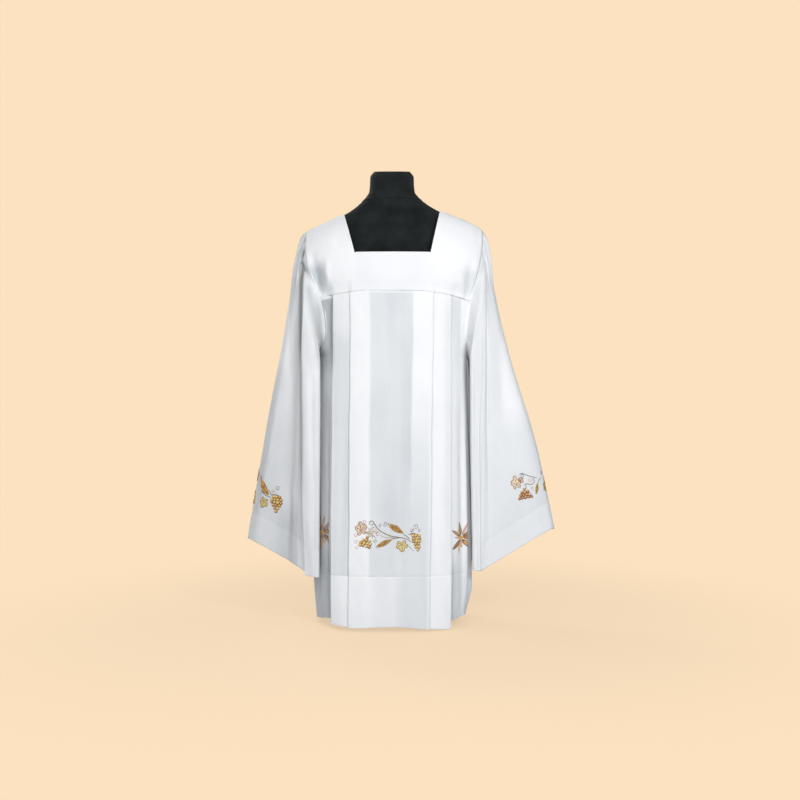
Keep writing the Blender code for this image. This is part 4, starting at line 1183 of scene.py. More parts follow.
def build_yoke(face):
    name = "yoke_front" if face == "front" else "yoke_back"
    corner = {side: body_corner(face, side) for side in ("right", "left")}
    edge_share = float(neck_share(face, NECK_HALF_LOW))
    points, tones, faces, index = [], [], [], []

    def add(x, share, edge, t):
        p, _ = yoke_surface(face, x, share, edge)
        start = len(points)
        points.extend(p)
        hem = 1 - ease((edge - 0.0045) / 0.0012)
        # painted light: the yoke is coloured lighter out towards the shoulders
        tone = 0.82 + 0.14 * ease((np.abs(x) - 0.06) / 0.05) + 0.05 * soft_noise(x / 0.04, p[:, 2] / 0.04, 71)
        if face == "front":
            # the fold beside the wearer's right armhole holds shade, with a crisp inner side
            z = p[:, 2] + SINK
            rim = -0.1495 + 0.55 * (0.869 - np.minimum(z, 0.880))
            held = ease((rim - x) / 0.0085) * ease((z - 0.800) / 0.060) * ease((0.915 - z) / 0.032)
            tone = tone - held * (0.40 + 0.34 * bump(x + 0.164, 0.014) + 0.55 * ease((-x - 0.164) / 0.014))
            # painted shade in the hollow by the wearer's left armhole
            held = ease((x - 0.166) / 0.006) * ease((z - 0.806) / 0.05) * ease((0.892 - z) / 0.016)
            tone = tone - held * 0.26
        tones.extend(np.maximum(tone, hem))
        return list(range(start, start + len(x)))

    levels = [(1 - q**1.7, True) for q in np.linspace(0, 1, STRAP_ROWS + 1)]
    levels = [(t, True) for t, _ in levels]
    # two more rows where the neckline's turned edge is stitched
    rows = []
    for t, _ in levels:
        rows.append((t, mix(edge_share, 1.0, t), None))
    lower = np.concatenate([[1 - 0.0048 / 0.09, 1 - 0.0062 / 0.09], np.linspace(1, 0, LOWER_ROWS + 1)[1:]])
    for q in sorted(lower, reverse=True):
        rows.append((0.0, edge_share * q, q))
    rows.append((0.0, -0.012, 0.0))

    for t, share, q in rows:
        ids = []
        for side in ("right", "left"):
            a, b = float(outer_x(side, max(share, 0.0), corner[side])), float(inner_x(side, t))
            width = abs(a - b)
            near = np.array([0.0, 0.0012, 0.0046, 0.0060, 0.0080]) / width
            t_in = np.concatenate([np.linspace(1, 0.0080 / width, STRAP_COLUMNS - 3)[:-1], near[::-1]])
            x = b + (a - b) * t_in
            edge = np.abs(x - b) if q is None else np.hypot(np.abs(x - b), 1.0) * 0 + np.abs(x - b)
            if q is not None:
                drop = (edge_share - share) * (float(shoulder_z(b)) - float(seam_z(b)))
                edge = np.hypot(np.abs(x - b), drop)
            ids.append((x, edge))
        right_x, right_edge = ids[0]
        left_x, left_edge = ids[1]
        run_r = add(right_x, np.full(len(right_x), share), right_edge, t)
        middle = []
        # the strap's inner corner row is where the neckline's bottom begins
        if q is not None or t == 0.0:
            a, b = float(inner_x("right", 0.0)), float(inner_x("left", 0.0))
            x = np.linspace(a, b, MIDDLE_COLUMNS + 1)[1:-1]
            here = neck_share(face, x) if face == "front" else np.full(len(x), edge_share)
            k = 1.0 if q is None else q
            level = here * k if share >= 0 else np.full(len(x), share)
            drop = (here - level) * (shoulder_z(x) - seam_z(x))
            middle = add(x, level, drop, t)
        run_l = add(left_x[::-1], np.full(len(left_x), share), left_edge[::-1], t)
        index.append((run_r, middle, run_l))

    flip = face == "back"

    def join(upper, low):
        for c in range(len(upper) - 1):
            quad = [low[c], low[c + 1], upper[c + 1], upper[c]]
            faces.append(quad[::-1] if flip else quad)

    for k in range(len(index) - 1):
        upper, low = index[k], index[k + 1]
        if upper[1] and low[1]:
            join(upper[0] + upper[1] + upper[2], low[0] + low[1] + low[2])
        else:
            join(upper[0], low[0])
            join(upper[2], low[2])
    points = np.array(points)
    points[:, 2] -= SINK
    obj = make_object(name + "_cloth", points, faces, white)
    add_uv(obj, np.stack([points[:, 0], points[:, 2] + np.abs(points[:, 1]) * 0.4], -1))
    # the "layers" attribute carries the layer tone with its painted shade and painted light
    add_value(obj, "layers", tones)
    return shell(obj)


# ------------------------------------------------------------------ the sleeves
FINE = 7  # grid steps to each of the CAD's


def section_keys(s, side):
    sign = 1.0 if side == "left" else -1.0
    front = [
        (s.outer_x, 0.0, s.outer_z),
        (s.panel_x, s.panel_y, s.panel_z),
        (s.groove_x, s.groove_y, s.groove_z),
        (s.ridge_x, s.ridge_y, s.ridge_z),
        (s.lap_x, s.lap_y, s.lap_z),
        (s.inner_x, 0.0, s.inner_z),
    ]
    back = []
    for i, (x, y, z) in enumerate(front[1:5]):
        y = -y * BACK_SHARE
        if i == 1:
            y = -BACK_SHARE * mix((s.panel_y + s.ridge_y) / 2, s.groove_y, BACK_GROOVE)
        back.append((x, y, z))
    return np.array(front + back[::-1]) * (sign, 1, 1)


def section_ring(keys):
    steps = SEGMENTS + SEGMENTS[::-1]
    n = len(keys)
    ring = []
    for i in range(n):
        for k in range(steps[i] * FINE):
            t = k / (steps[i] * FINE)
            ring.append(catmull(keys[i - 1], keys[i], keys[(i + 1) % n], keys[(i + 2) % n], t))
    return np.array(ring)


def smooth_ring(ring):
    n = len(ring)
    made = []
    for i in range(n):
        for k in range(FINE):
            made.append(catmull(ring[i - 1], ring[i], ring[(i + 1) % n], ring[(i + 2) % n], k / FINE))
    return np.array(made)


def clear_of_body(p):
    """Moves points out where they would touch the hanging body."""
    x, y, z = p[..., 0], p[..., 1], p[..., 2]
    need = np.zeros(x.shape)
    inside = np.zeros(x.shape, bool)
    for face in ("front", "back"):
        mine = (y < 0) if face == "front" else (y >= 0)
        at = np.clip(z, 0, None)
        a = read_table(BODY_OUTLINE, "z", "half_width", at)
        b = read_table(BODY_OUTLINE, "z", face + "_depth", at)
        n = read_table(BODY_OUTLINE, "z", "corner", at)
        q = np.clip(np.abs(y) / b, 0, 1)
        reach = a * (1 - q**n) ** (1 / n)
        need = np.where(mine, reach + 0.0045 * ease((UNDERARM_Z - z) / 0.03) + 0.0012, need)
        inside |= mine & (q < 0.86) & (z <= UNDERARM_Z + 0.02)
    push = inside & (np.abs(x) < need)
    p[..., 0] = np.where(push, np.copysign(need, x), x)
    return p


def build_sleeve(side):
    edge, edge_normals, inward = armhole_ring(side)
    edge, edge_normals, inward = smooth_ring(edge), unit(smooth_ring(edge_normals)), unit(smooth_ring(inward))
    sections = [section_ring(section_keys(s, side)) for s in SLEEVE_SECTIONS[side]]
    levels = [edge] + sections
    rings, t_along = [], []
    # the sewn end is tucked under the edge that it is sewn to
    rings.append(edge + inward * 0.0045 - edge_normals * 0.0013)
    rings.append(edge + inward * 0.0012 - edge_normals * 0.0012)
    steps = (7, 15, 24, 30, 30, 34)
    for i in range(len(levels) - 1):
        before, after = levels[max(i - 1, 0)], levels[min(i + 2, len(levels) - 1)]
        for k in range(steps[i]):
            if i == 0 and k == 0:
                continue
            t = k / steps[i]
            if i == 0:
                # the CAD goes straight from the armhole to the first section
                rings.append(mix(levels[0], levels[1], t))
            else:
                rings.append(catmull(before, levels[i], levels[i + 1], after, t))
    rings.append(levels[-1].copy())
    p = np.array(rings)
    p[2:] = clear_of_body(p[2:])
    rows, count = p.shape[:2]
    length = np.cumsum(np.linalg.norm(np.diff(p, axis=0), axis=2), axis=0)
    length = np.concatenate([np.zeros((1, count)), length])
    along = length / length[-1:]
    across = np.broadcast_to(np.arange(count)[None, :] / FINE, (rows, count))
    flip = side == "left"
    normals = grid_normals(p, True, not flip)
    wrap = np.where(across > 29.7, across - 30, across)
    seed = 53 if side == "right" else 67
    out = crease_field(SLEEVE_CREASES[side], wrap, along, 0.18)
    metres = across * 0.021
    period = 30 * 0.021

    def ring_noise(width, tall, k):
        """Noise that meets itself round the sleeve."""
        u = metres / width
        a = soft_noise(u + 5, length / tall + 3, k)
        b = soft_noise(u + 5 - period / width, length / tall + 3, k)
        w = ease((across - 24) / 6.0)
        return mix(a, b, w)

    out += 0.0016 * ring_noise(0.050, 0.24, seed)
    out += 0.0006 * ring_noise(0.018, 0.11, seed + 1)
    out += 0.00028 * ring_noise(0.009, 0.03, seed + 2)
    # hem
    from_cuff = length[-1:] - length
    out += 0.0003 * ease((0.064 - from_cuff) / 0.003) - 0.0006 * bump(from_cuff - 0.0655, 0.0030)
    out += 0.0022 * ease(1 - from_cuff / 0.12) * ring_noise(0.036, 0.16, seed + 3)
    out *= ease(length / 0.020) * ease((along - 0.002) / 0.02)
    # the inner side lies against the body
    inner = bump(across - 15, 2.0)
    out *= 1 - 0.9 * inner
    p = p + normals * out[..., None]
    p[2:] = clear_of_body(p[2:])
    p[..., 2] -= SINK
    normals = grid_normals(p, True, not flip)
    # painted shade: the wearer's right sleeve takes the warmer copy of the cotton
    dress = white_painted_warm_shade if side == "right" else white
    obj = make_object("sleeve_" + side + "_cloth", p.reshape(-1, 3), grid_faces(rows, count, True, not flip), dress)
    ring_length = np.linalg.norm(np.roll(p, -1, axis=1) - p, axis=2)
    u = np.concatenate([np.zeros((rows, 1)), np.cumsum(ring_length, axis=1)[:, :-1]], axis=1)
    add_uv(obj, np.stack([u, -length], -1).reshape(-1, 2))
    # painted shade: the wearer's right sleeve is coloured darker than the left
    tone = (0.44 if side == "right" else 0.62) + 0.12 * ring_noise(0.08, 0.15, seed + 5)
    if side == "right":
        # the cloth between the front fold and the armhole lies in shade
        px, py, pz = p[..., 0], p[..., 1], p[..., 2] + SINK
        shaded = bump(px + 0.167 + 0.05 * (pz - 0.73), 0.0140) * ease((pz - 0.62) / 0.05) * ease((0.83 - pz) / 0.06) * (py < 0)
        tone = tone - 1.15 * shaded
        # painted shade on the outer front of the wearer's right sleeve, lower down
        low = ease((0.56 - pz) / 0.22) * ease((-px - 0.212) / 0.010) * (py < 0)
        tone = mix(tone, 0.28, 0.9 * low)
        # painted shade in the hollow of the deep fold, widening towards the cuff
        wide = ease((0.34 - pz) / 0.09) * ease((-px - 0.222) / 0.010) * ease((px + 0.292) / 0.030) * (py < 0)
        tone = tone - 0.50 * wide
        # painted shade in the deep fold down the front, up to the gathers of the head
        line = -0.2200 + 0.0050 * ease((pz - 0.84) / 0.05) + 0.0045 * ease((pz - 0.910) / 0.03) + 0.0045 * ease((0.62 - pz) / 0.15)
        deep_fold_painted_shade = bump(px - line, 0.0050) * ease((0.975 - pz) / 0.02) * ease((pz - 0.30) / 0.12)
        tone = tone - (0.90 + 0.76 * ease((pz - 0.63) / 0.08)) * deep_fold_painted_shade * (py < 0)
        # painted shade where the cloth turns in towards the armhole below the yoke's end
        turn_in_painted_shade = bump(px + 0.187 + 0.20 * (pz - 0.76), 0.0085) * ease((pz - 0.685) / 0.04) * ease((0.85 - pz) / 0.03)
        tone = tone - 0.60 * turn_in_painted_shade * (py < 0)
        # painted highlight on the front fold, lower down
        tone = tone + 0.42 * bump(px + 0.194, 0.009) * ease((0.66 - pz) / 0.08) * (py < 0)
        # painted light on the upper outer side of the sleeve
        tone = tone + 0.50 * ease((-px - 0.244) / 0.012) * ease((pz - 0.60) / 0.08) * (py < 0.02)
    else:
        px, pz = p[..., 0], p[..., 2] + SINK
        # painted light on the upper outer side of the wearer's left sleeve
        tone = tone + 0.36 * ease((px - 0.258) / 0.02) * ease((pz - 0.46) / 0.12)
    turned = 0.72 if side == "left" else np.minimum(tone + 0.12, 0.62)
    tone = mix(tone, turned, ease((0.0655 - from_cuff) / 0.002))
    tone = mix(tone, 0.9, ease((0.03 - along) / 0.03))
    # the "layers" attribute carries the layer tone with its painted shade and painted light
    add_value(obj, "layers", tone)
    shell(obj)
    cloth = Cloth(p, normals, True)
    cloth.from_cuff = from_cuff
    return obj, cloth


# ------------------------------------------------------------------ thread work
class Threads:
    """Gathers raised stitches and patches of thread into one mesh. Each is drawn flat, in
    metres, with a height over the cloth, and then laid on the cloth."""

    def __init__(self):
        self.points, self.faces, self.colours, self.uvs = [], [], [], []

    def add(self, place, flat, height, faces, colour, grain):
        start = len(self.points)
        self.points.extend(place(flat[:, 0], flat[:, 1], height))
        self.faces.extend([[start + i for i in f] for f in faces])
        self.colours.extend([colour] * len(flat))
        turn = np.array([[math.cos(grain), math.sin(grain)], [-math.sin(grain), math.cos(grain)]])
        self.uvs.extend(flat @ turn.T)

    def object(self, name):
        obj = make_object(name, np.array(self.points), self.faces, thread)
        add_uv(obj, np.array(self.uvs))
        add_colour(obj, "thread", np.array(self.colours))
        return obj


def patch(threads, place, outline, colour, height=0.0009, grain=0.6, domed=True):
    """A patch filled with satin stitch: a low dome on the given outline, closed below."""
    outline = np.asarray(outline, float)
    n = len(outline)
    centre = outline.mean(0)
    flat, heights = [outline], [np.full(n, -0.0003)]
    for scale, lift in ((1.0, 0.35), (0.93, 0.8), (0.68, 1.0)) if domed else ((1.0, 0.6), (0.9, 1.0)):
        flat.append(centre + (outline - centre) * scale)
        heights.append(np.full(n, height * lift))
    flat.append(centre[None, :])
    heights.append(np.array([height * (1.04 if domed else 1.0)]))
    faces = [list(range(n))[::-1]]
    rings = len(flat) - 1
    for r in range(rings - 1):
        for i in range(n):
            a, b = r * n + i, r * n + (i + 1) % n
            faces.append([a, b, b + n, a + n])
    top, last = (rings - 1) * n, rings * n
    for i in range(n):
        faces.append([top + i, top + (i + 1) % n, last])
    threads.add(place, np.concatenate(flat), np.concatenate(heights), faces, colour, grain)


def ellipse(cx, cy, rx, ry, angle, n=12, power=1.0):
    q = np.linspace(0, 2 * math.pi, n, endpoint=False)
    x, y = rx * np.cos(q), ry * np.sin(q) * np.abs(np.sin(q)) ** (power - 1)
    c, s = math.cos(angle), math.sin(angle)
    return np.stack([cx + x * c - y * s, cy + x * s + y * c], -1)


def almond(x0, y0, x1, y1, wide, n=12):
    """A pointed leaf or grain from one end to the other."""
    a, b = np.array([x0, y0]), np.array([x1, y1])
    d = b - a
    side = np.array([-d[1], d[0]]) / np.linalg.norm(d)
    t = np.linspace(0, 1, n // 2 + 1)
    w = wide * np.sin(math.pi * t**0.85) ** 0.8
    w[0] = w[-1] = 0.0
    up = a + d * t[:, None] + side * w[:, None]
    down = a + d * t[::-1, None] - side * w[::-1, None]
    return np.concatenate([up, down[1:-1]])


def smooth_line(points, steps=5):
    points = np.asarray(points, float)
    ext = np.concatenate([points[:1] * 2 - points[1:2], points, points[-1:] * 2 - points[-2:-1]])
    made = []
    for i in range(1, len(ext) - 2):
        for k in range(steps):
            made.append(catmull(ext[i - 1], ext[i], ext[i + 1], ext[i + 2], k / steps))
    made.append(points[-1])
    return np.array(made)


def stroke(threads, place, points, wide, colour, height=0.0008, steps=5):
    """A line of stem stitch: a flattened, tapered cord."""
    line = smooth_line(points, steps)
    n = len(line)
    d = np.gradient(line, axis=0)
    side = np.stack([-d[:, 1], d[:, 0]], -1) / np.maximum(np.linalg.norm(d, axis=1), 1e-9)[:, None]
    t = np.linspace(0, 1, n)
    w = wide / 2 * (0.45 + 0.55 * np.sqrt(np.clip(np.sin(math.pi * t), 0, 1)))
    profile = ((-1.0, -0.3), (-0.85, 0.45), (-0.35, 0.95), (0.35, 0.95), (0.85, 0.45), (1.0, -0.3))
    flat, heights = [], []
    for q, h in profile:
        flat.append(line + side * (w * q)[:, None])
        lift = h * height if h > 0 else -0.0003
        heights.append(np.full(n, lift))
    m = len(profile)
    faces = []
    for k in range(m):
        a, b = k * n, ((k + 1) % m) * n
        for i in range(n - 1):
            faces.append([a + i, b + i, b + i + 1, a + i + 1])
    faces.append([k * n for k in range(m)][::-1])
    faces.append([k * n + n - 1 for k in range(m)])
    # the faces above run the other way round
    faces = [f[::-1] for f in faces]
    threads.add(place, np.concatenate(flat), np.concatenate(heights), faces, colour, 1.1)


GOLD, YELLOW, OCHRE = srgb(226, 174, 62), srgb(248, 212, 108), srgb(196, 140, 58)
BROWN, ORANGE, RUST = srgb(118, 76, 38), srgb(214, 138, 62), srgb(166, 96, 44)
PALE, TAN, UMBER, FAWN = srgb(246, 224, 198), srgb(222, 178, 108), srgb(98, 62, 30), srgb(158, 118, 86)
PEACH, PINK, ROSE = srgb(244, 212, 176), srgb(228, 184, 172), srgb(200, 140, 132)
MAUVE, GREY, OLIVE = srgb(158, 138, 150), srgb(128, 122, 116), srgb(126, 116, 76)
MOSS = srgb(160, 148, 70)

PX = 0.00233


def grapes(threads, place, cx, cy, rows, size, lean, colours, seed, tilt=0.0):
    """A bunch of round grapes, each a dome of gold inside a darker ring. The rows go down
    from cx, cy; lean moves each one across, and tilt turns the whole."""
    rng = np.random.default_rng(seed)
    step = size * 2.05
    ct, st = math.cos(tilt), math.sin(tilt)
    for r, count in enumerate(rows):
        for k in range(count):
            x = (k - (count - 1) / 2) * step + lean * r * step + rng.uniform(-0.16, 0.16) * size
            y = -r * step * 0.90 + rng.uniform(-0.14, 0.14) * size
            x, y = cx + x * ct - y * st, cy + x * st + y * ct
            here = size * rng.uniform(0.92, 1.10)
            colour = colours[rng.integers(len(colours))]
            grain = rng.uniform(0, 3.1)
            dark = UMBER if rng.uniform() < 0.6 else BROWN
            patch(threads, place, ellipse(x, y, here * 1.06, here * 1.06, 0, 14), dark, 0.0007, grain)
            patch(threads, place, ellipse(x - 0.08 * here, y + 0.16 * here, here * 0.86, here * 0.76, 0.5, 14),
                  colour, 0.0019, grain)
            patch(threads, place, ellipse(x - 0.16 * here, y + 0.36 * here, here * 0.34, here * 0.24, 0.5, 8),
                  PALE, 0.0024, grain)


def wheat(threads, place, x0, y0, x1, y1, colours, grains=7, wide=2.2):
    """An ear of wheat from its tip to its foot: pointed grains in three rows on a dark ground."""
    a, b = np.array([x0, y0]), np.array([x1, y1])
    length = np.linalg.norm(b - a)
    e = (b - a) / length
    side = np.array([-e[1], e[0]])
    angle = math.atan2(e[1], e[0])
    wide = wide * PX
    patch(threads, place, almond(x0, y0, x1, y1, wide * 1.22, 20), colours[-1], 0.0006, angle)
    for k in range(grains):
        t = (k + 0.75) / (grains + 0.35)
        w = wide * math.sin(math.pi * min(0.96, 0.13 + 0.83 * t)) ** 0.75
        centre = a + e * length * t
        reach = e * length * 0.60 / grains
        for j, sgn in enumerate((-1, 1)):
            tip = centre + side * sgn * w * 1.02 - reach * 1.25
            foot = centre + side * sgn * w * 0.30 + reach
            patch(threads, place, almond(*tip, *foot, max(w * 0.29, 0.0006), 10),
                  colours[(2 * k + j) % (len(colours) - 1)], 0.0013, angle + sgn * 0.6)
        patch(threads, place, almond(*(centre - reach * 1.1), *(centre + reach * 0.7), w * 0.22, 8),
              colours[(k + 1) % (len(colours) - 1)], 0.0017, angle)
    for k in (-1, 0, 1):
        tip = a - e * wide * (0.9 - 0.2 * abs(k)) + side * wide * 0.34 * k
        stroke(threads, place, [(x0, y0), tuple((tip + a) / 2), tuple(tip)], 0.0007, colours[-1], 0.0007, 3)


def vine_leaf(threads, place, cx, cy, size, angle, fill, line, seed, squeeze=1.0):
    """A five-lobed leaf: pale satin inside, a heavier outline and veins."""
    rng = np.random.default_rng(seed)
    lobes = np.array([0.0, 1.08, -1.08, 2.20, -2.20])
    reach = np.array([1.0, 0.90, 0.86, 0.70, 0.68]) * rng.uniform(0.94, 1.06, 5)
    q = np.linspace(-math.pi, math.pi, 72, endpoint=False)
    radius = 0.44 + 0 * q
    for at, far in zip(lobes, reach):
        radius = np.maximum(radius, far * np.cos(np.clip((q - at) * 1.75, -1.5, 1.5)) ** 0.8)
    radius = radius * (1 + 0.06 * np.sin(q * 19)) * (1 - 0.45 * bump(np.abs(q) - math.pi, 0.35))
    x, y = size * radius * np.cos(q), size * squeeze * radius * np.sin(q)
    ca, sa = math.cos(angle), math.sin(angle)
    outline = np.stack([cx + x * ca - y * sa, cy + x * sa + y * ca], -1)
    patch(threads, place, outline, fill, 0.0007, angle + 0.5)
    loop = np.concatenate([outline[::2], outline[:1]])
    stroke(threads, place, loop, 0.0018, line, 0.0012, 2)
    for at, far in zip(lobes, reach):
        u, v = far * 0.86 * math.cos(at) * size, far * 0.86 * math.sin(at) * size * squeeze
        tip = (cx + u * ca - v * sa, cy + u * sa + v * ca)
        stroke(threads, place, [(cx, cy), ((cx + tip[0]) / 2, (cy + tip[1]) / 2), tip], 0.0017, line, 0.0014, 3)


def curl(threads, place, cx, cy, size, start, turns, colour, wide=0.0013):
    """A tendril's curl, wound in to its middle."""
    q = np.linspace(0, 1, 14)
    angle = start + turns * 2 * math.pi * q
    radius = size * (1 - q) ** 0.8
    pts = np.stack([cx + radius * np.cos(angle), cy + radius * np.sin(angle)], -1)
    stroke(threads, place, pts, wide, colour, 0.0008, 3)


# direction in degrees, length, half width, ground, filling
SPRIG_LEAVES = (
    (102, 13.0, 2.0, OLIVE, MOSS), (64, 12.6, 0.9, ROSE, PINK), (30, 10.6, 1.5, BROWN, OCHRE),
    (-2, 9.4, 1.6, RUST, ORANGE), (-50, 11.2, 1.6, BROWN, GOLD), (-84, 8.0, 0.9, ROSE, PEACH),
    (-106, 12.4, 1.3, OCHRE, YELLOW), (-134, 12.6, 1.6, BROWN, RUST), (176, 7.6, 0.8, ROSE, PINK),
    (146, 11.0, 1.3, BROWN, OCHRE), (124, 7.6, 0.8, ROSE, PEACH),
)


def paler(colour, share):
    return tuple(mix(a, b, share) for a, b in zip(colour, srgb(222, 204, 194)))


def sprig(threads, place, turn=0.0, scale=1.0, faded=0.0):
    """Pointed leaves round a middle, each with a lighter filling."""
    for degrees, length, wide, ground, filling in SPRIG_LEAVES:
        ground, filling = paler(ground, faded * 0.7), paler(filling, faded)
        a = math.radians(degrees) + turn
        k = PX * scale
        c, s = math.cos(a), math.sin(a)
        patch(threads, place, almond(1.4 * k * c, 1.4 * k * s, length * k * c, length * k * s, wide * k), ground, 0.0009, a + 0.5)
        patch(threads, place, almond(3.2 * k * c, 3.2 * k * s, length * 0.86 * k * c, length * 0.86 * k * s, wide * 0.66 * k),
              filling, 0.0014, a - 0.5)
    patch(threads, place, ellipse(0, 0, 1.5 * PX * scale, 1.5 * PX * scale, 0), GOLD, 0.0018)
    for q in range(5):
        a = 0.4 + q * 1.26
        patch(threads, place, ellipse(1.9 * PX * math.cos(a), 1.9 * PX * math.sin(a), 0.7 * PX, 0.7 * PX, 0, 8), YELLOW, 0.0014)


def front_motif(threads, place):
    k = PX

    def at(*pts):
        return [(x * k, y * k) for x, y in pts]

    # stems
    stroke(threads, place, at((-20.4, 13.0), (-19.6, 15.6), (-16.8, 15.9), (-15.4, 13.6), (-11.2, 8.0), (-6.6, 4.6),
                              (0.6, 1.4), (9.0, -0.2), (16.6, -1.6), (22.8, -5.0)), 0.0022, OLIVE, 0.0012)
    stroke(threads, place, at((-19.8, 12.6), (-17.4, 12.2), (-15.8, 13.4)), 0.0014, OLIVE, 0.0010)
    stroke(threads, place, at((-23.6, 4.6), (-19.6, 3.6), (-15.4, 0.6), (-13.2, -1.6)), 0.0016, ROSE, 0.0009)
    stroke(threads, place, at((-9.4, 2.0), (-4.0, -0.6), (2.0, -0.6), (7.6, -1.2)), 0.0015, ROSE, 0.0009)
    stroke(threads, place, at((1.2, -2.8), (5.0, -1.4), (10.4, -0.8)), 0.0018, OLIVE, 0.0011)
    stroke(threads, place, at((14.2, 3.0), (17.8, 0.6), (20.8, -2.4)), 0.0020, OLIVE, 0.0011)
    stroke(threads, place, at((19.6, 2.6), (24.6, 3.4), (30.2, 2.0)), 0.0020, BROWN, 0.0011)
    stroke(threads, place, at((17.8, -7.4), (21.2, -10.6), (24.8, -14.4)), 0.0013, MAUVE, 0.0009)
    # picture's left end: an outlined leaf over a bunch, with a paler one behind
    vine_leaf(threads, place, -20.2 * k, 3.0 * k, 4.4 * k, 0.5, srgb(232, 226, 214), srgb(196, 184, 166), 31, 0.9)
    vine_leaf(threads, place, -28.2 * k, 6.8 * k, 9.2 * k, 1.75, PALE, FAWN, 3, 0.78)
    stroke(threads, place, at((-30.4, 14.6), (-29.8, 11.6), (-28.6, 8.0), (-28.0, 4.4)), 0.0014, FAWN, 0.0016)
    stroke(threads, place, at((-25.4, 14.8), (-26.0, 11.4), (-27.4, 8.0)), 0.0014, FAWN, 0.0016)
    stroke(threads, place, at((-32.6, 9.6), (-30.2, 7.6), (-28.2, 5.0)), 0.0014, ROSE, 0.0016)
    stroke(threads, place, at((-22.4, 9.8), (-24.8, 8.6), (-27.4, 5.2)), 0.0014, ROSE, 0.0016)
    grapes(threads, place, -22.4 * k, -0.8 * k, (1, 3, 4, 4), 1.56 * k, -0.06, (GOLD, YELLOW, ORANGE, YELLOW), 5, -0.22)
    stroke(threads, place, at((-24.6, 3.2), (-22.8, 5.0), (-19.4, 4.6), (-17.0, 1.8), (-16.8, -1.0)), 0.0016, MOSS, 0.0010)
    stroke(threads, place, at((-22.0, 9.6), (-19.0, 7.4), (-16.6, 9.8), (-14.4, 9.2)), 0.0014, FAWN, 0.0010)
    stroke(threads, place, at((-15.8, 6.4), (-13.2, 4.4), (-11.6, 6.2)), 0.0014, ROSE, 0.0010)
    curl(threads, place, -14.6 * k, 7.4 * k, 2.6 * k, 2.4, 1.25, PINK, 0.0014)
    curl(threads, place, -11.6 * k, 2.6 * k, 2.2 * k, 0.4, 1.2, ROSE, 0.0014)
    curl(threads, place, -14.4 * k, -3.8 * k, 2.2 * k, 2.8, 1.2, MOSS, 0.0014)
    curl(threads, place, -33.2 * k, -5.4 * k, 2.4 * k, 0.4, 1.2, PINK, 0.0014)
    curl(threads, place, -33.6 * k, 1.6 * k, 2.2 * k, 1.6, 1.1, PINK, 0.0014)
    curl(threads, place, -32.6 * k, -11.0 * k, 1.9 * k, 1.2, 1.1, PINK)
    curl(threads, place, -25.4 * k, 15.4 * k, 2.0 * k, 5.0, 1.1, PINK)
    curl(threads, place, -4.2 * k, 13.4 * k, 2.6 * k, 3.6, 1.3, MAUVE)
    curl(threads, place, -9.0 * k, 11.4 * k, 1.8 * k, 0.8, 1.1, MAUVE)
    # middle: two ears of wheat and a small leaf
    wheat(threads, place, 0.4 * k, 12.4 * k, 14.2 * k, 3.8 * k, (TAN, GOLD, OCHRE, UMBER), 6, 2.5)
    wheat(threads, place, -12.0 * k, -9.8 * k, 2.6 * k, -2.4 * k, (TAN, OCHRE, GOLD, UMBER), 6, 2.1)
    vine_leaf(threads, place, 12.6 * k, -7.4 * k, 7.0 * k, -1.45, srgb(232, 214, 146), srgb(150, 116, 62), 9)
    # picture's right end: a bunch with curls over it
    grapes(threads, place, 27.2 * k, 1.2 * k, (3, 3, 3, 2, 2, 1), 1.56 * k, 0.06, (YELLOW, YELLOW, GOLD, YELLOW), 7, 0.05)
    curl(threads, place, 26.6 * k, 10.8 * k, 2.8 * k, 4.0, 1.3, MAUVE, 0.0015)
    curl(threads, place, 23.4 * k, 7.0 * k, 2.1 * k, 2.0, 1.2, ROSE)
    curl(threads, place, 30.6 * k, 6.4 * k, 1.8 * k, 0.6, 1.2, MAUVE)
    stroke(threads, place, at((22.0, 1.6), (22.4, 4.6), (24.2, 7.6), (26.0, 8.4)), 0.0013, MAUVE, 0.0009)


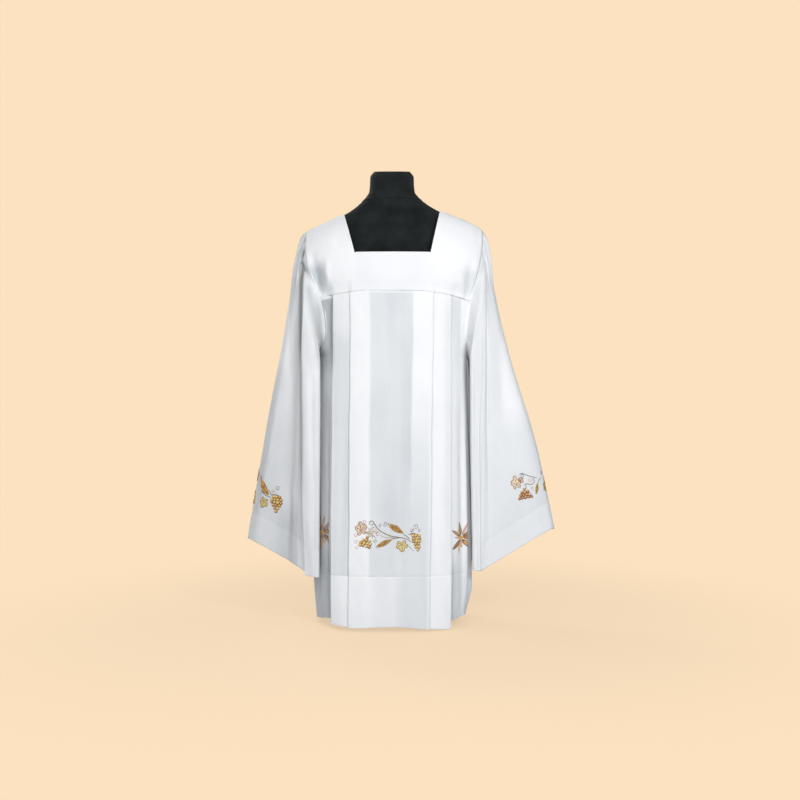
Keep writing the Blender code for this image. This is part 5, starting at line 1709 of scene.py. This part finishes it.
def sleeve_motif(threads, place, mirror):
    """mirror is 1 for the wearer's right sleeve and -1 for the left one."""
    k = PX

    def at(*pts):
        return [(x * k, y * k) for x, y in pts]

    if mirror > 0:
        stroke(threads, place, at((-3.2, 6.4), (-0.4, 2.8), (2.4, -0.4), (5.2, -4.8), (7.6, -9.4), (9.4, -13.0)), 0.0020, OLIVE, 0.0011)
        stroke(threads, place, at((-13.4, 3.4), (-8.8, 1.0), (-4.4, -0.6), (0.6, -1.6)), 0.0018, OLIVE, 0.0010)
        stroke(threads, place, at((-12.6, 6.4), (-14.0, 2.6), (-16.4, -0.8)), 0.0015, ROSE, 0.0010)
        wheat(threads, place, -19.6 * k, 14.4 * k, -2.2 * k, 0.8 * k, (TAN, OCHRE, GOLD, UMBER), 7, 3.6)
        vine_leaf(threads, place, -7.8 * k, -6.2 * k, 7.0 * k, -1.9, srgb(228, 208, 138), srgb(150, 116, 62), 13)
        grapes(threads, place, 6.8 * k, -0.2 * k, (3, 4, 4, 3, 2, 1), 1.60 * k, 0.04, (GOLD, YELLOW, ORANGE, YELLOW), 17)
        stroke(threads, place, at((1.6, 1.4), (5.2, 2.2), (9.4, 1.4)), 0.0018, BROWN, 0.0010)
        curl(threads, place, 7.6 * k, 9.0 * k, 2.8 * k, 0.5, 1.3, MAUVE, 0.0015)
        curl(threads, place, 2.6 * k, 5.4 * k, 2.1 * k, 2.0, 1.2, ROSE)
        curl(threads, place, -13.6 * k, -1.6 * k, 2.2 * k, 3.4, 1.2, PINK)
        # what goes on behind the outer fold
        vine_leaf(threads, place, -40.0 * k, 9.6 * k, 7.0 * k, 1.7, PALE, FAWN, 33, 0.85)
        grapes(threads, place, -39.0 * k, -2.6 * k, (1, 3, 4, 4), 1.50 * k, 0.0, (GOLD, ORANGE, YELLOW), 21)
        curl(threads, place, -26.6 * k, 12.6 * k, 2.2 * k, 0.5, 1.2, PINK)
    else:
        stroke(threads, place, at((-5.0, 13.2), (-3.0, 14.6), (0.4, 13.6), (4.6, 11.4), (9.6, 9.6), (15.4, 7.6)), 0.0018, GREY, 0.0011)
        stroke(threads, place, at((-2.4, 2.8), (0.6, 3.6), (4.2, 2.4), (7.8, 2.6), (11.4, 5.0)), 0.0019, OLIVE, 0.0011)
        stroke(threads, place, at((-0.6, 3.2), (-0.4, 0.6), (-1.0, -1.8)), 0.0015, OLIVE, 0.0010)
        vine_leaf(threads, place, -9.8 * k, 4.6 * k, 8.2 * k, 1.7, PALE, FAWN, 15, 0.74)
        vine_leaf(threads, place, -5.0 * k, 7.8 * k, 3.6 * k, 0.7, PALE, FAWN, 35, 0.9)
        grapes(threads, place, -2.6 * k, -1.8 * k, (1, 3, 4, 5), 1.50 * k, 0.02, (ORANGE, PEACH, ORANGE, GOLD), 19)
        curl(threads, place, -2.4 * k, 12.8 * k, 2.2 * k, 3.5, 1.2, GREY, 0.0014)
        curl(threads, place, 5.4 * k, 6.6 * k, 2.6 * k, 1.0, 1.3, PINK, 0.0015)
        curl(threads, place, 9.8 * k, 6.6 * k, 2.0 * k, 0.2, 1.2, MAUVE)
        curl(threads, place, 5.4 * k, -2.0 * k, 2.1 * k, 4.4, 1.1, ROSE)
        wheat(threads, place, 9.6 * k, -7.4 * k, 15.8 * k, 2.6 * k, (TAN, OCHRE, GOLD, UMBER), 6, 1.9)
        # what goes on behind the outer fold
        stroke(threads, place, at((16.6, 2.8), (19.2, 4.8), (22.6, 5.2)), 0.0018, OLIVE, 0.0011)
        vine_leaf(threads, place, 28.4 * k, -3.6 * k, 6.0 * k, -1.3, srgb(210, 190, 112), srgb(142, 124, 70), 25)
        grapes(threads, place, 36.0 * k, 1.4 * k, (3, 3, 3, 2, 1), 1.50 * k, 0.0, (GOLD, YELLOW, YELLOW), 37)
        curl(threads, place, 27.4 * k, 8.6 * k, 2.4 * k, 2.2, 1.2, MAUVE)


def body_placer(cloth, s0, z0):
    def place(x, y, height):
        r, c = body_place(cloth, s0 + x, z0 + y)
        return cloth.at(r, c, height)

    return place


def arc_of(cloth, x, z):
    """How far round the side panel passes a place across."""
    r = int(np.searchsorted(cloth.rows, z))
    panel = np.where((cloth.seen[r] > 0) & (cloth.layer[r] < 3.99) & (np.abs(cloth.arcs[r]) > 0.15))[0]
    panel = panel[np.sign(cloth.p[r, panel, 0]) == np.sign(x)]
    return float(cloth.arcs[r, panel[np.argmin(np.abs(cloth.p[r, panel, 0] - x))]])


def sleeve_placer(cloth, x0, z0, tilt=0.0):
    """Lays a drawing on a sleeve, centred where the front of the sleeve passes x0, z0."""
    front = cloth.n[..., 1] < -0.15
    d = (cloth.p[..., 0] - x0) ** 2 + (cloth.p[..., 2] - z0) ** 2 + np.where(front, 0, 9.0)
    r0, c0 = np.unravel_index(np.argmin(d), d.shape)
    count = cloth.p.shape[1]
    pc = (cloth.p[r0, (c0 + 3) % count] - cloth.p[r0, (c0 - 3) % count]) / 6
    pr = (cloth.p[r0 + 3, c0] - cloth.p[r0 - 3, c0]) / 6
    n = cloth.n[r0, c0]
    up = unit(-pr * math.cos(tilt) + np.cross(n, -pr) * math.sin(tilt))
    right = unit(np.cross(up, n))
    if right[0] < 0:
        right = -right
    basis = np.stack([pr, pc], axis=1)
    solve = np.linalg.pinv(basis)
    to_right, to_up = solve @ right, solve @ up

    def place(x, y, height):
        r = r0 + to_right[0] * x + to_up[0] * y
        c = c0 + to_right[1] * x + to_up[1] * y
        return cloth.at(r, c, height)

    return place


def stitches(name, runs, length=0.0023, pitch=0.0032, wide=0.0006, colour=(0.80, 0.81, 0.82)):
    """Rows of small sewn stitches. A run is a line of points with the cloth's normals."""
    points, faces = [], []
    for line, normals in runs:
        seg = np.linalg.norm(np.diff(line, axis=0), axis=1)
        total = np.concatenate([[0], np.cumsum(seg)])
        n = int(total[-1] / pitch)
        if n < 1:
            continue
        mids = (np.arange(n) + 0.5) * total[-1] / n

        def sample(at, values):
            return np.stack([np.interp(at, total, values[:, i]) for i in range(3)], -1)

        a, b = sample(mids - length / 2, line), sample(mids + length / 2, line)
        up = unit(sample(mids, normals))
        e = unit(b - a)
        side = unit(np.cross(up, e))
        for i in range(n):
            start = len(points)
            mid = (a[i] + b[i]) / 2
            w, h = side[i] * wide / 2, up[i] * 0.0004
            q = e[i] * length * 0.28
            sunk = -up[i] * 0.0003
            points += [
                a[i] + sunk, mid - q + w + sunk * 0, mid + q + w + sunk * 0, b[i] + sunk,
                mid + q - w, mid - q - w, mid - q + h, mid + q + h,
            ]
            o = start
            faces += [
                [o, o + 6, o + 1], [o + 1, o + 6, o + 7, o + 2], [o + 2, o + 7, o + 3],
                [o + 3, o + 7, o + 4], [o + 4, o + 7, o + 6, o + 5], [o + 5, o + 6, o],
                [o, o + 1, o + 2, o + 3, o + 4, o + 5],
            ]
    obj = make_object(name, np.array(points), faces, thread)
    flat = np.array(points)
    add_uv(obj, flat[:, [0, 2]])
    add_colour(obj, "thread", np.tile(colour, (len(points), 1)))
    return obj


# ------------------------------------------------------------------ the dress form
def build_form():
    """The jersey cover over the form: smooth, whole, with a seam at the foot of the neck."""
    heights = np.array(sorted(set(
        list(np.linspace(0.250, 0.275, 12)) + list(np.linspace(0.275, 0.94, 70))
        + list(np.linspace(0.94, 1.03, 40)) + list(np.linspace(1.03, 1.0995, 60))
        + list(np.linspace(1.1035, 1.1305, 26))
    )))
    segs = 144
    angle = np.linspace(0, 2 * math.pi, segs, endpoint=False)
    c, s = np.cos(angle), np.sin(angle)
    points = []
    seam = 1.0535
    for z in heights:
        w, front, back, corner = (
            float(read_table(FORM_ROWS, "z", k, z)) for k in ("half_width", "front", "back", "corner")
        )
        lean = FORM_LEAN * float(ease((z - 0.75) / 0.2)) * (1 - float(ease((z - 1.03) / 0.06)))
        # the neck's cover is sewn on: a small roll over a groove
        tuck = 0.0010 * math.exp(-(((z - seam - 0.003) / 0.0030) ** 2)) - 0.0014 * math.exp(
            -(((z - seam) / 0.0016) ** 2)
        )
        x = np.sign(c) * np.abs(c) ** (2 / corner) * (w + tuck)
        depth = np.where(s > 0, back, front) + tuck
        y = np.sign(s) * np.abs(s) ** (2 / corner) * depth
        ripple = 0.0004 * soft_noise(angle * 3.2 + 5, np.full(segs, z / 0.03), 91)
        ripple *= 1 - float(ease((z - 1.10) / 0.01))
        blend = 0.5 - 0.5 * np.cos(np.clip(angle, 0, 2 * math.pi))
        ripple = ripple * np.minimum(1, blend * 8)
        points.append(np.stack([x * (1 + ripple / 0.1), y * (1 + ripple / 0.1), z + lean * x], -1))
    rim = points[-1]
    for scale, up in ((0.97, 0.0002), (0.80, 0.0003), (0.55, 0.0004), (0.25, 0.0004)):
        ring = rim * (scale, scale, 1)
        ring[:, 2] += up
        points.append(ring)
    low = points[0]
    for scale in (0.97, 0.85, 0.55, 0.2):
        ring = low * (scale, scale, 1)
        points.insert(0, ring)
    p = np.array(points)
    p[..., 2] += CAP_SLANT * p[..., 1] * ease((p[..., 2] - 1.098) / 0.018)
    p[..., 2] -= SINK
    rows, count = p.shape[:2]
    flat = p.reshape(-1, 3)
    faces = grid_faces(rows, count, True, False)
    faces.append(list(range(count))[::-1])
    faces.append(list(range((rows - 1) * count, rows * count)))
    obj = make_object("form_cover", flat, faces, jersey)
    ring = np.linalg.norm(np.roll(p, -1, axis=1) - p, axis=2)
    u = np.concatenate([np.zeros((rows, 1)), np.cumsum(ring, axis=1)[:, :-1]], axis=1)
    add_uv(obj, np.stack([u, p[..., 2]], -1).reshape(-1, 2))
    return obj


# ------------------------------------------------------------------ build the pieces
pieces = []
bodies = {face: build_body(face) for face in ("front", "back")}
yokes = {face: build_yoke(face) for face in ("front", "back")}
sleeves = {side: build_sleeve(side) for side in ("right", "left")}
form = build_form()
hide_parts("form_torso")
pieces.append(form)

extras = {"front_body": [], "back_body": [], "yoke_front": [], "yoke_back": [], "sleeve_right": [], "sleeve_left": []}

# embroidery
work = Threads()
front_cloth = bodies["front"][1]
front_motif(work, body_placer(front_cloth, -0.0055, 0.2370))
extras["front_body"].append(work.object("embroidery_front"))
for label, x0, z0, turn, scale, faded in (
    ("left", 0.1665, 0.2300, 0.0, 1.32, 0.15),
    ("right", -0.1675, 0.2390, 0.25, 1.52, 0.50),
):
    work = Threads()
    sprig(work, body_placer(front_cloth, arc_of(front_cloth, x0, z0), z0), turn, scale, faded)
    extras["front_body"].append(work.object("embroidery_sprig_" + label))
for side, x0, z0, mirror in (("right", -0.2945, 0.3120, 1), ("left", 0.3285, 0.3345, -1)):
    work = Threads()
    sleeve_motif(work, sleeve_placer(sleeves[side][1], x0, z0), mirror)
    extras["sleeve_" + side].append(work.object("embroidery_sleeve_" + side))


# stitching
def body_stitch_runs(cloth, z, lift=0.0):
    r = float(np.interp(z, cloth.rows, np.arange(len(cloth.rows))))
    seen = cloth.seen[int(r)] > 0
    runs, start = [], None
    for c in range(len(seen) + 1):
        on = c < len(seen) and seen[c]
        if on and start is None:
            start = c
        if not on and start is not None:
            if c - start > 3:
                cols = np.arange(start, c - 0.0)
                line = cloth.at(np.full(len(cols), r), cols, lift)
                normals = cloth.at(np.full(len(cols), r), cols, lift + 0.01) - line
                runs.append((line, normals))
            start = None
    return runs


for face in ("front", "back"):
    extras[face + "_body"].append(
        stitches("hem_stitches_" + face, body_stitch_runs(bodies[face][1], HEM_LINE))
    )
for side in ("right", "left"):
    cloth = sleeves[side][1]
    count = cloth.p.shape[1]
    rows_here = np.array([
        np.interp(-0.0655, -cloth.from_cuff[:, c], np.arange(cloth.p.shape[0])) for c in range(count)
    ])
    cols = np.append(np.arange(count), 0)
    line = cloth.at(rows_here[cols], cols)
    normals = cloth.at(rows_here[cols], cols, 0.01) - line
    extras["sleeve_" + side].append(stitches("cuff_stitches_" + side, [(line, normals)]))


# ------------------------------------------------------------------ everything rides on the one body
for face in ("front", "back"):
    body, yoke = bodies[face][0], yokes[face]
    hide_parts(face + "_body")
    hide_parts("yoke_" + face)
    pieces += [body, yoke]
for side in ("right", "left"):
    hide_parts("sleeve_" + side)
    pieces.append(sleeves[side][0])
for found in extras.values():
    for piece in found:
        pieces.append(piece)
for piece in pieces:
    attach(piece, "root")

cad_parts["form_post"].data.materials.clear()
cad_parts["form_post"].data.materials.append(steel_material())
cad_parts["form_base"].data.materials.clear()
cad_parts["form_base"].data.materials.append(lacquer_material())

# ------------------------------------------------------------------ floor, world, light and camera
BACKDROP = srgb(252, 226, 192)


def backdrop_material():
    """A pale floor that takes soft shadows near the object and runs into the backdrop's even
    tone further out. It lights the object as a neutral floor does."""
    material, nodes, links, shader = new_material("pale_floor")
    place = node(nodes, "ShaderNodeTexCoord")
    reach = node(nodes, "ShaderNodeVectorMath", operation="LENGTH")
    links.new(place.outputs["Object"], reach.inputs[0])
    fade = node(nodes, "ShaderNodeMapRange", From_Min=0.4, From_Max=1.3, To_Min=0.72, To_Max=1.0)
    fade.interpolation_type = "SMOOTHSTEP"
    links.new(reach.outputs["Value"], fade.inputs["Value"])
    glow = node(nodes, "ShaderNodeEmission", Color=(*BACKDROP, 1), Strength=1.0)
    shader.inputs["Base Color"].default_value = (*srgb(240, 216, 186), 1)
    shader.inputs["Roughness"].default_value = 0.95
    shader.inputs["Specular IOR Level"].default_value = 0.1
    seen = node(nodes, "ShaderNodeMixShader")
    links.new(fade.outputs["Result"], seen.inputs[0])
    links.new(shader.outputs["BSDF"], seen.inputs[1])
    links.new(glow.outputs["Emission"], seen.inputs[2])
    plain = node(nodes, "ShaderNodeBsdfDiffuse", Color=(0.62, 0.62, 0.63, 1))
    ray = node(nodes, "ShaderNodeLightPath")
    both = node(nodes, "ShaderNodeMixShader")
    links.new(ray.outputs["Is Camera Ray"], both.inputs[0])
    links.new(plain.outputs["BSDF"], both.inputs[1])
    links.new(seen.outputs["Shader"], both.inputs[2])
    links.new(both.outputs["Shader"], nodes["Material Output"].inputs["Surface"])
    return material


floor = make_object(
    "floor", [(-30, -30, -0.0005), (30, -30, -0.0005), (30, 30, -0.0005), (-30, 30, -0.0005)], [[0, 1, 2, 3]],
    backdrop_material(),
)

world = bpy.data.worlds.new("studio")
bpy.context.scene.world = world
world.use_nodes = True
wn, wl = world.node_tree.nodes, world.node_tree.links
wn.clear()
w_out = node(wn, "ShaderNodeOutputWorld")
w_seen = node(wn, "ShaderNodeBackground", Color=(*BACKDROP, 1), Strength=1.0)
w_light = node(wn, "ShaderNodeBackground", Color=(0.95, 0.97, 1.0, 1), Strength=0.36)
w_ray = node(wn, "ShaderNodeLightPath")
w_mix = node(wn, "ShaderNodeMixShader")
wl.new(w_ray.outputs["Is Camera Ray"], w_mix.inputs[0])
wl.new(w_light.outputs["Background"], w_mix.inputs[1])
wl.new(w_seen.outputs["Background"], w_mix.inputs[2])
wl.new(w_mix.outputs["Shader"], w_out.inputs["Surface"])


def area_light(name, place, target, size, power, colour=(1, 1, 1)):
    data = bpy.data.lights.new(name, "AREA")
    data.energy, data.size, data.color = power, size, colour
    light = bpy.data.objects.new(name, data)
    bpy.context.scene.collection.objects.link(light)
    light.location = place
    d = np.array(target) - np.array(place)
    light.rotation_euler = (
        math.pi / 2 - math.atan2(-d[2], math.hypot(d[0], d[1])) , 0.0, math.atan2(d[1], d[0]) - math.pi / 2
    )
    return light


area_light("key", (1.25, -2.5, 1.95), (0.0, 0.0, 0.56), 0.40, 31, (0.985, 0.994, 1.0))
area_light("front", (-0.15, -2.9, 1.55), (0.0, 0.0, 0.55), 2.2, 42, (1.0, 0.992, 0.975))
area_light("back", (-1.9, 2.2, 1.9), (0.0, 0.0, 0.7), 1.0, 42, (1.0, 0.99, 0.975))

bpy.context.scene.view_settings.view_transform = "Standard"
bpy.context.scene.view_settings.look = "None"

camera_data = bpy.data.cameras.new("camera")
camera = bpy.data.objects.new("camera", camera_data)
bpy.context.scene.collection.objects.link(camera)
camera.location = (0.020, -2.6, 0.547)
camera.rotation_euler = (math.pi / 2, 0.0, 0.0)
camera_data.sensor_width = 36
camera_data.lens = 18 / 0.3846
bpy.context.scene.camera = camera

bpy.context.view_layer.update()
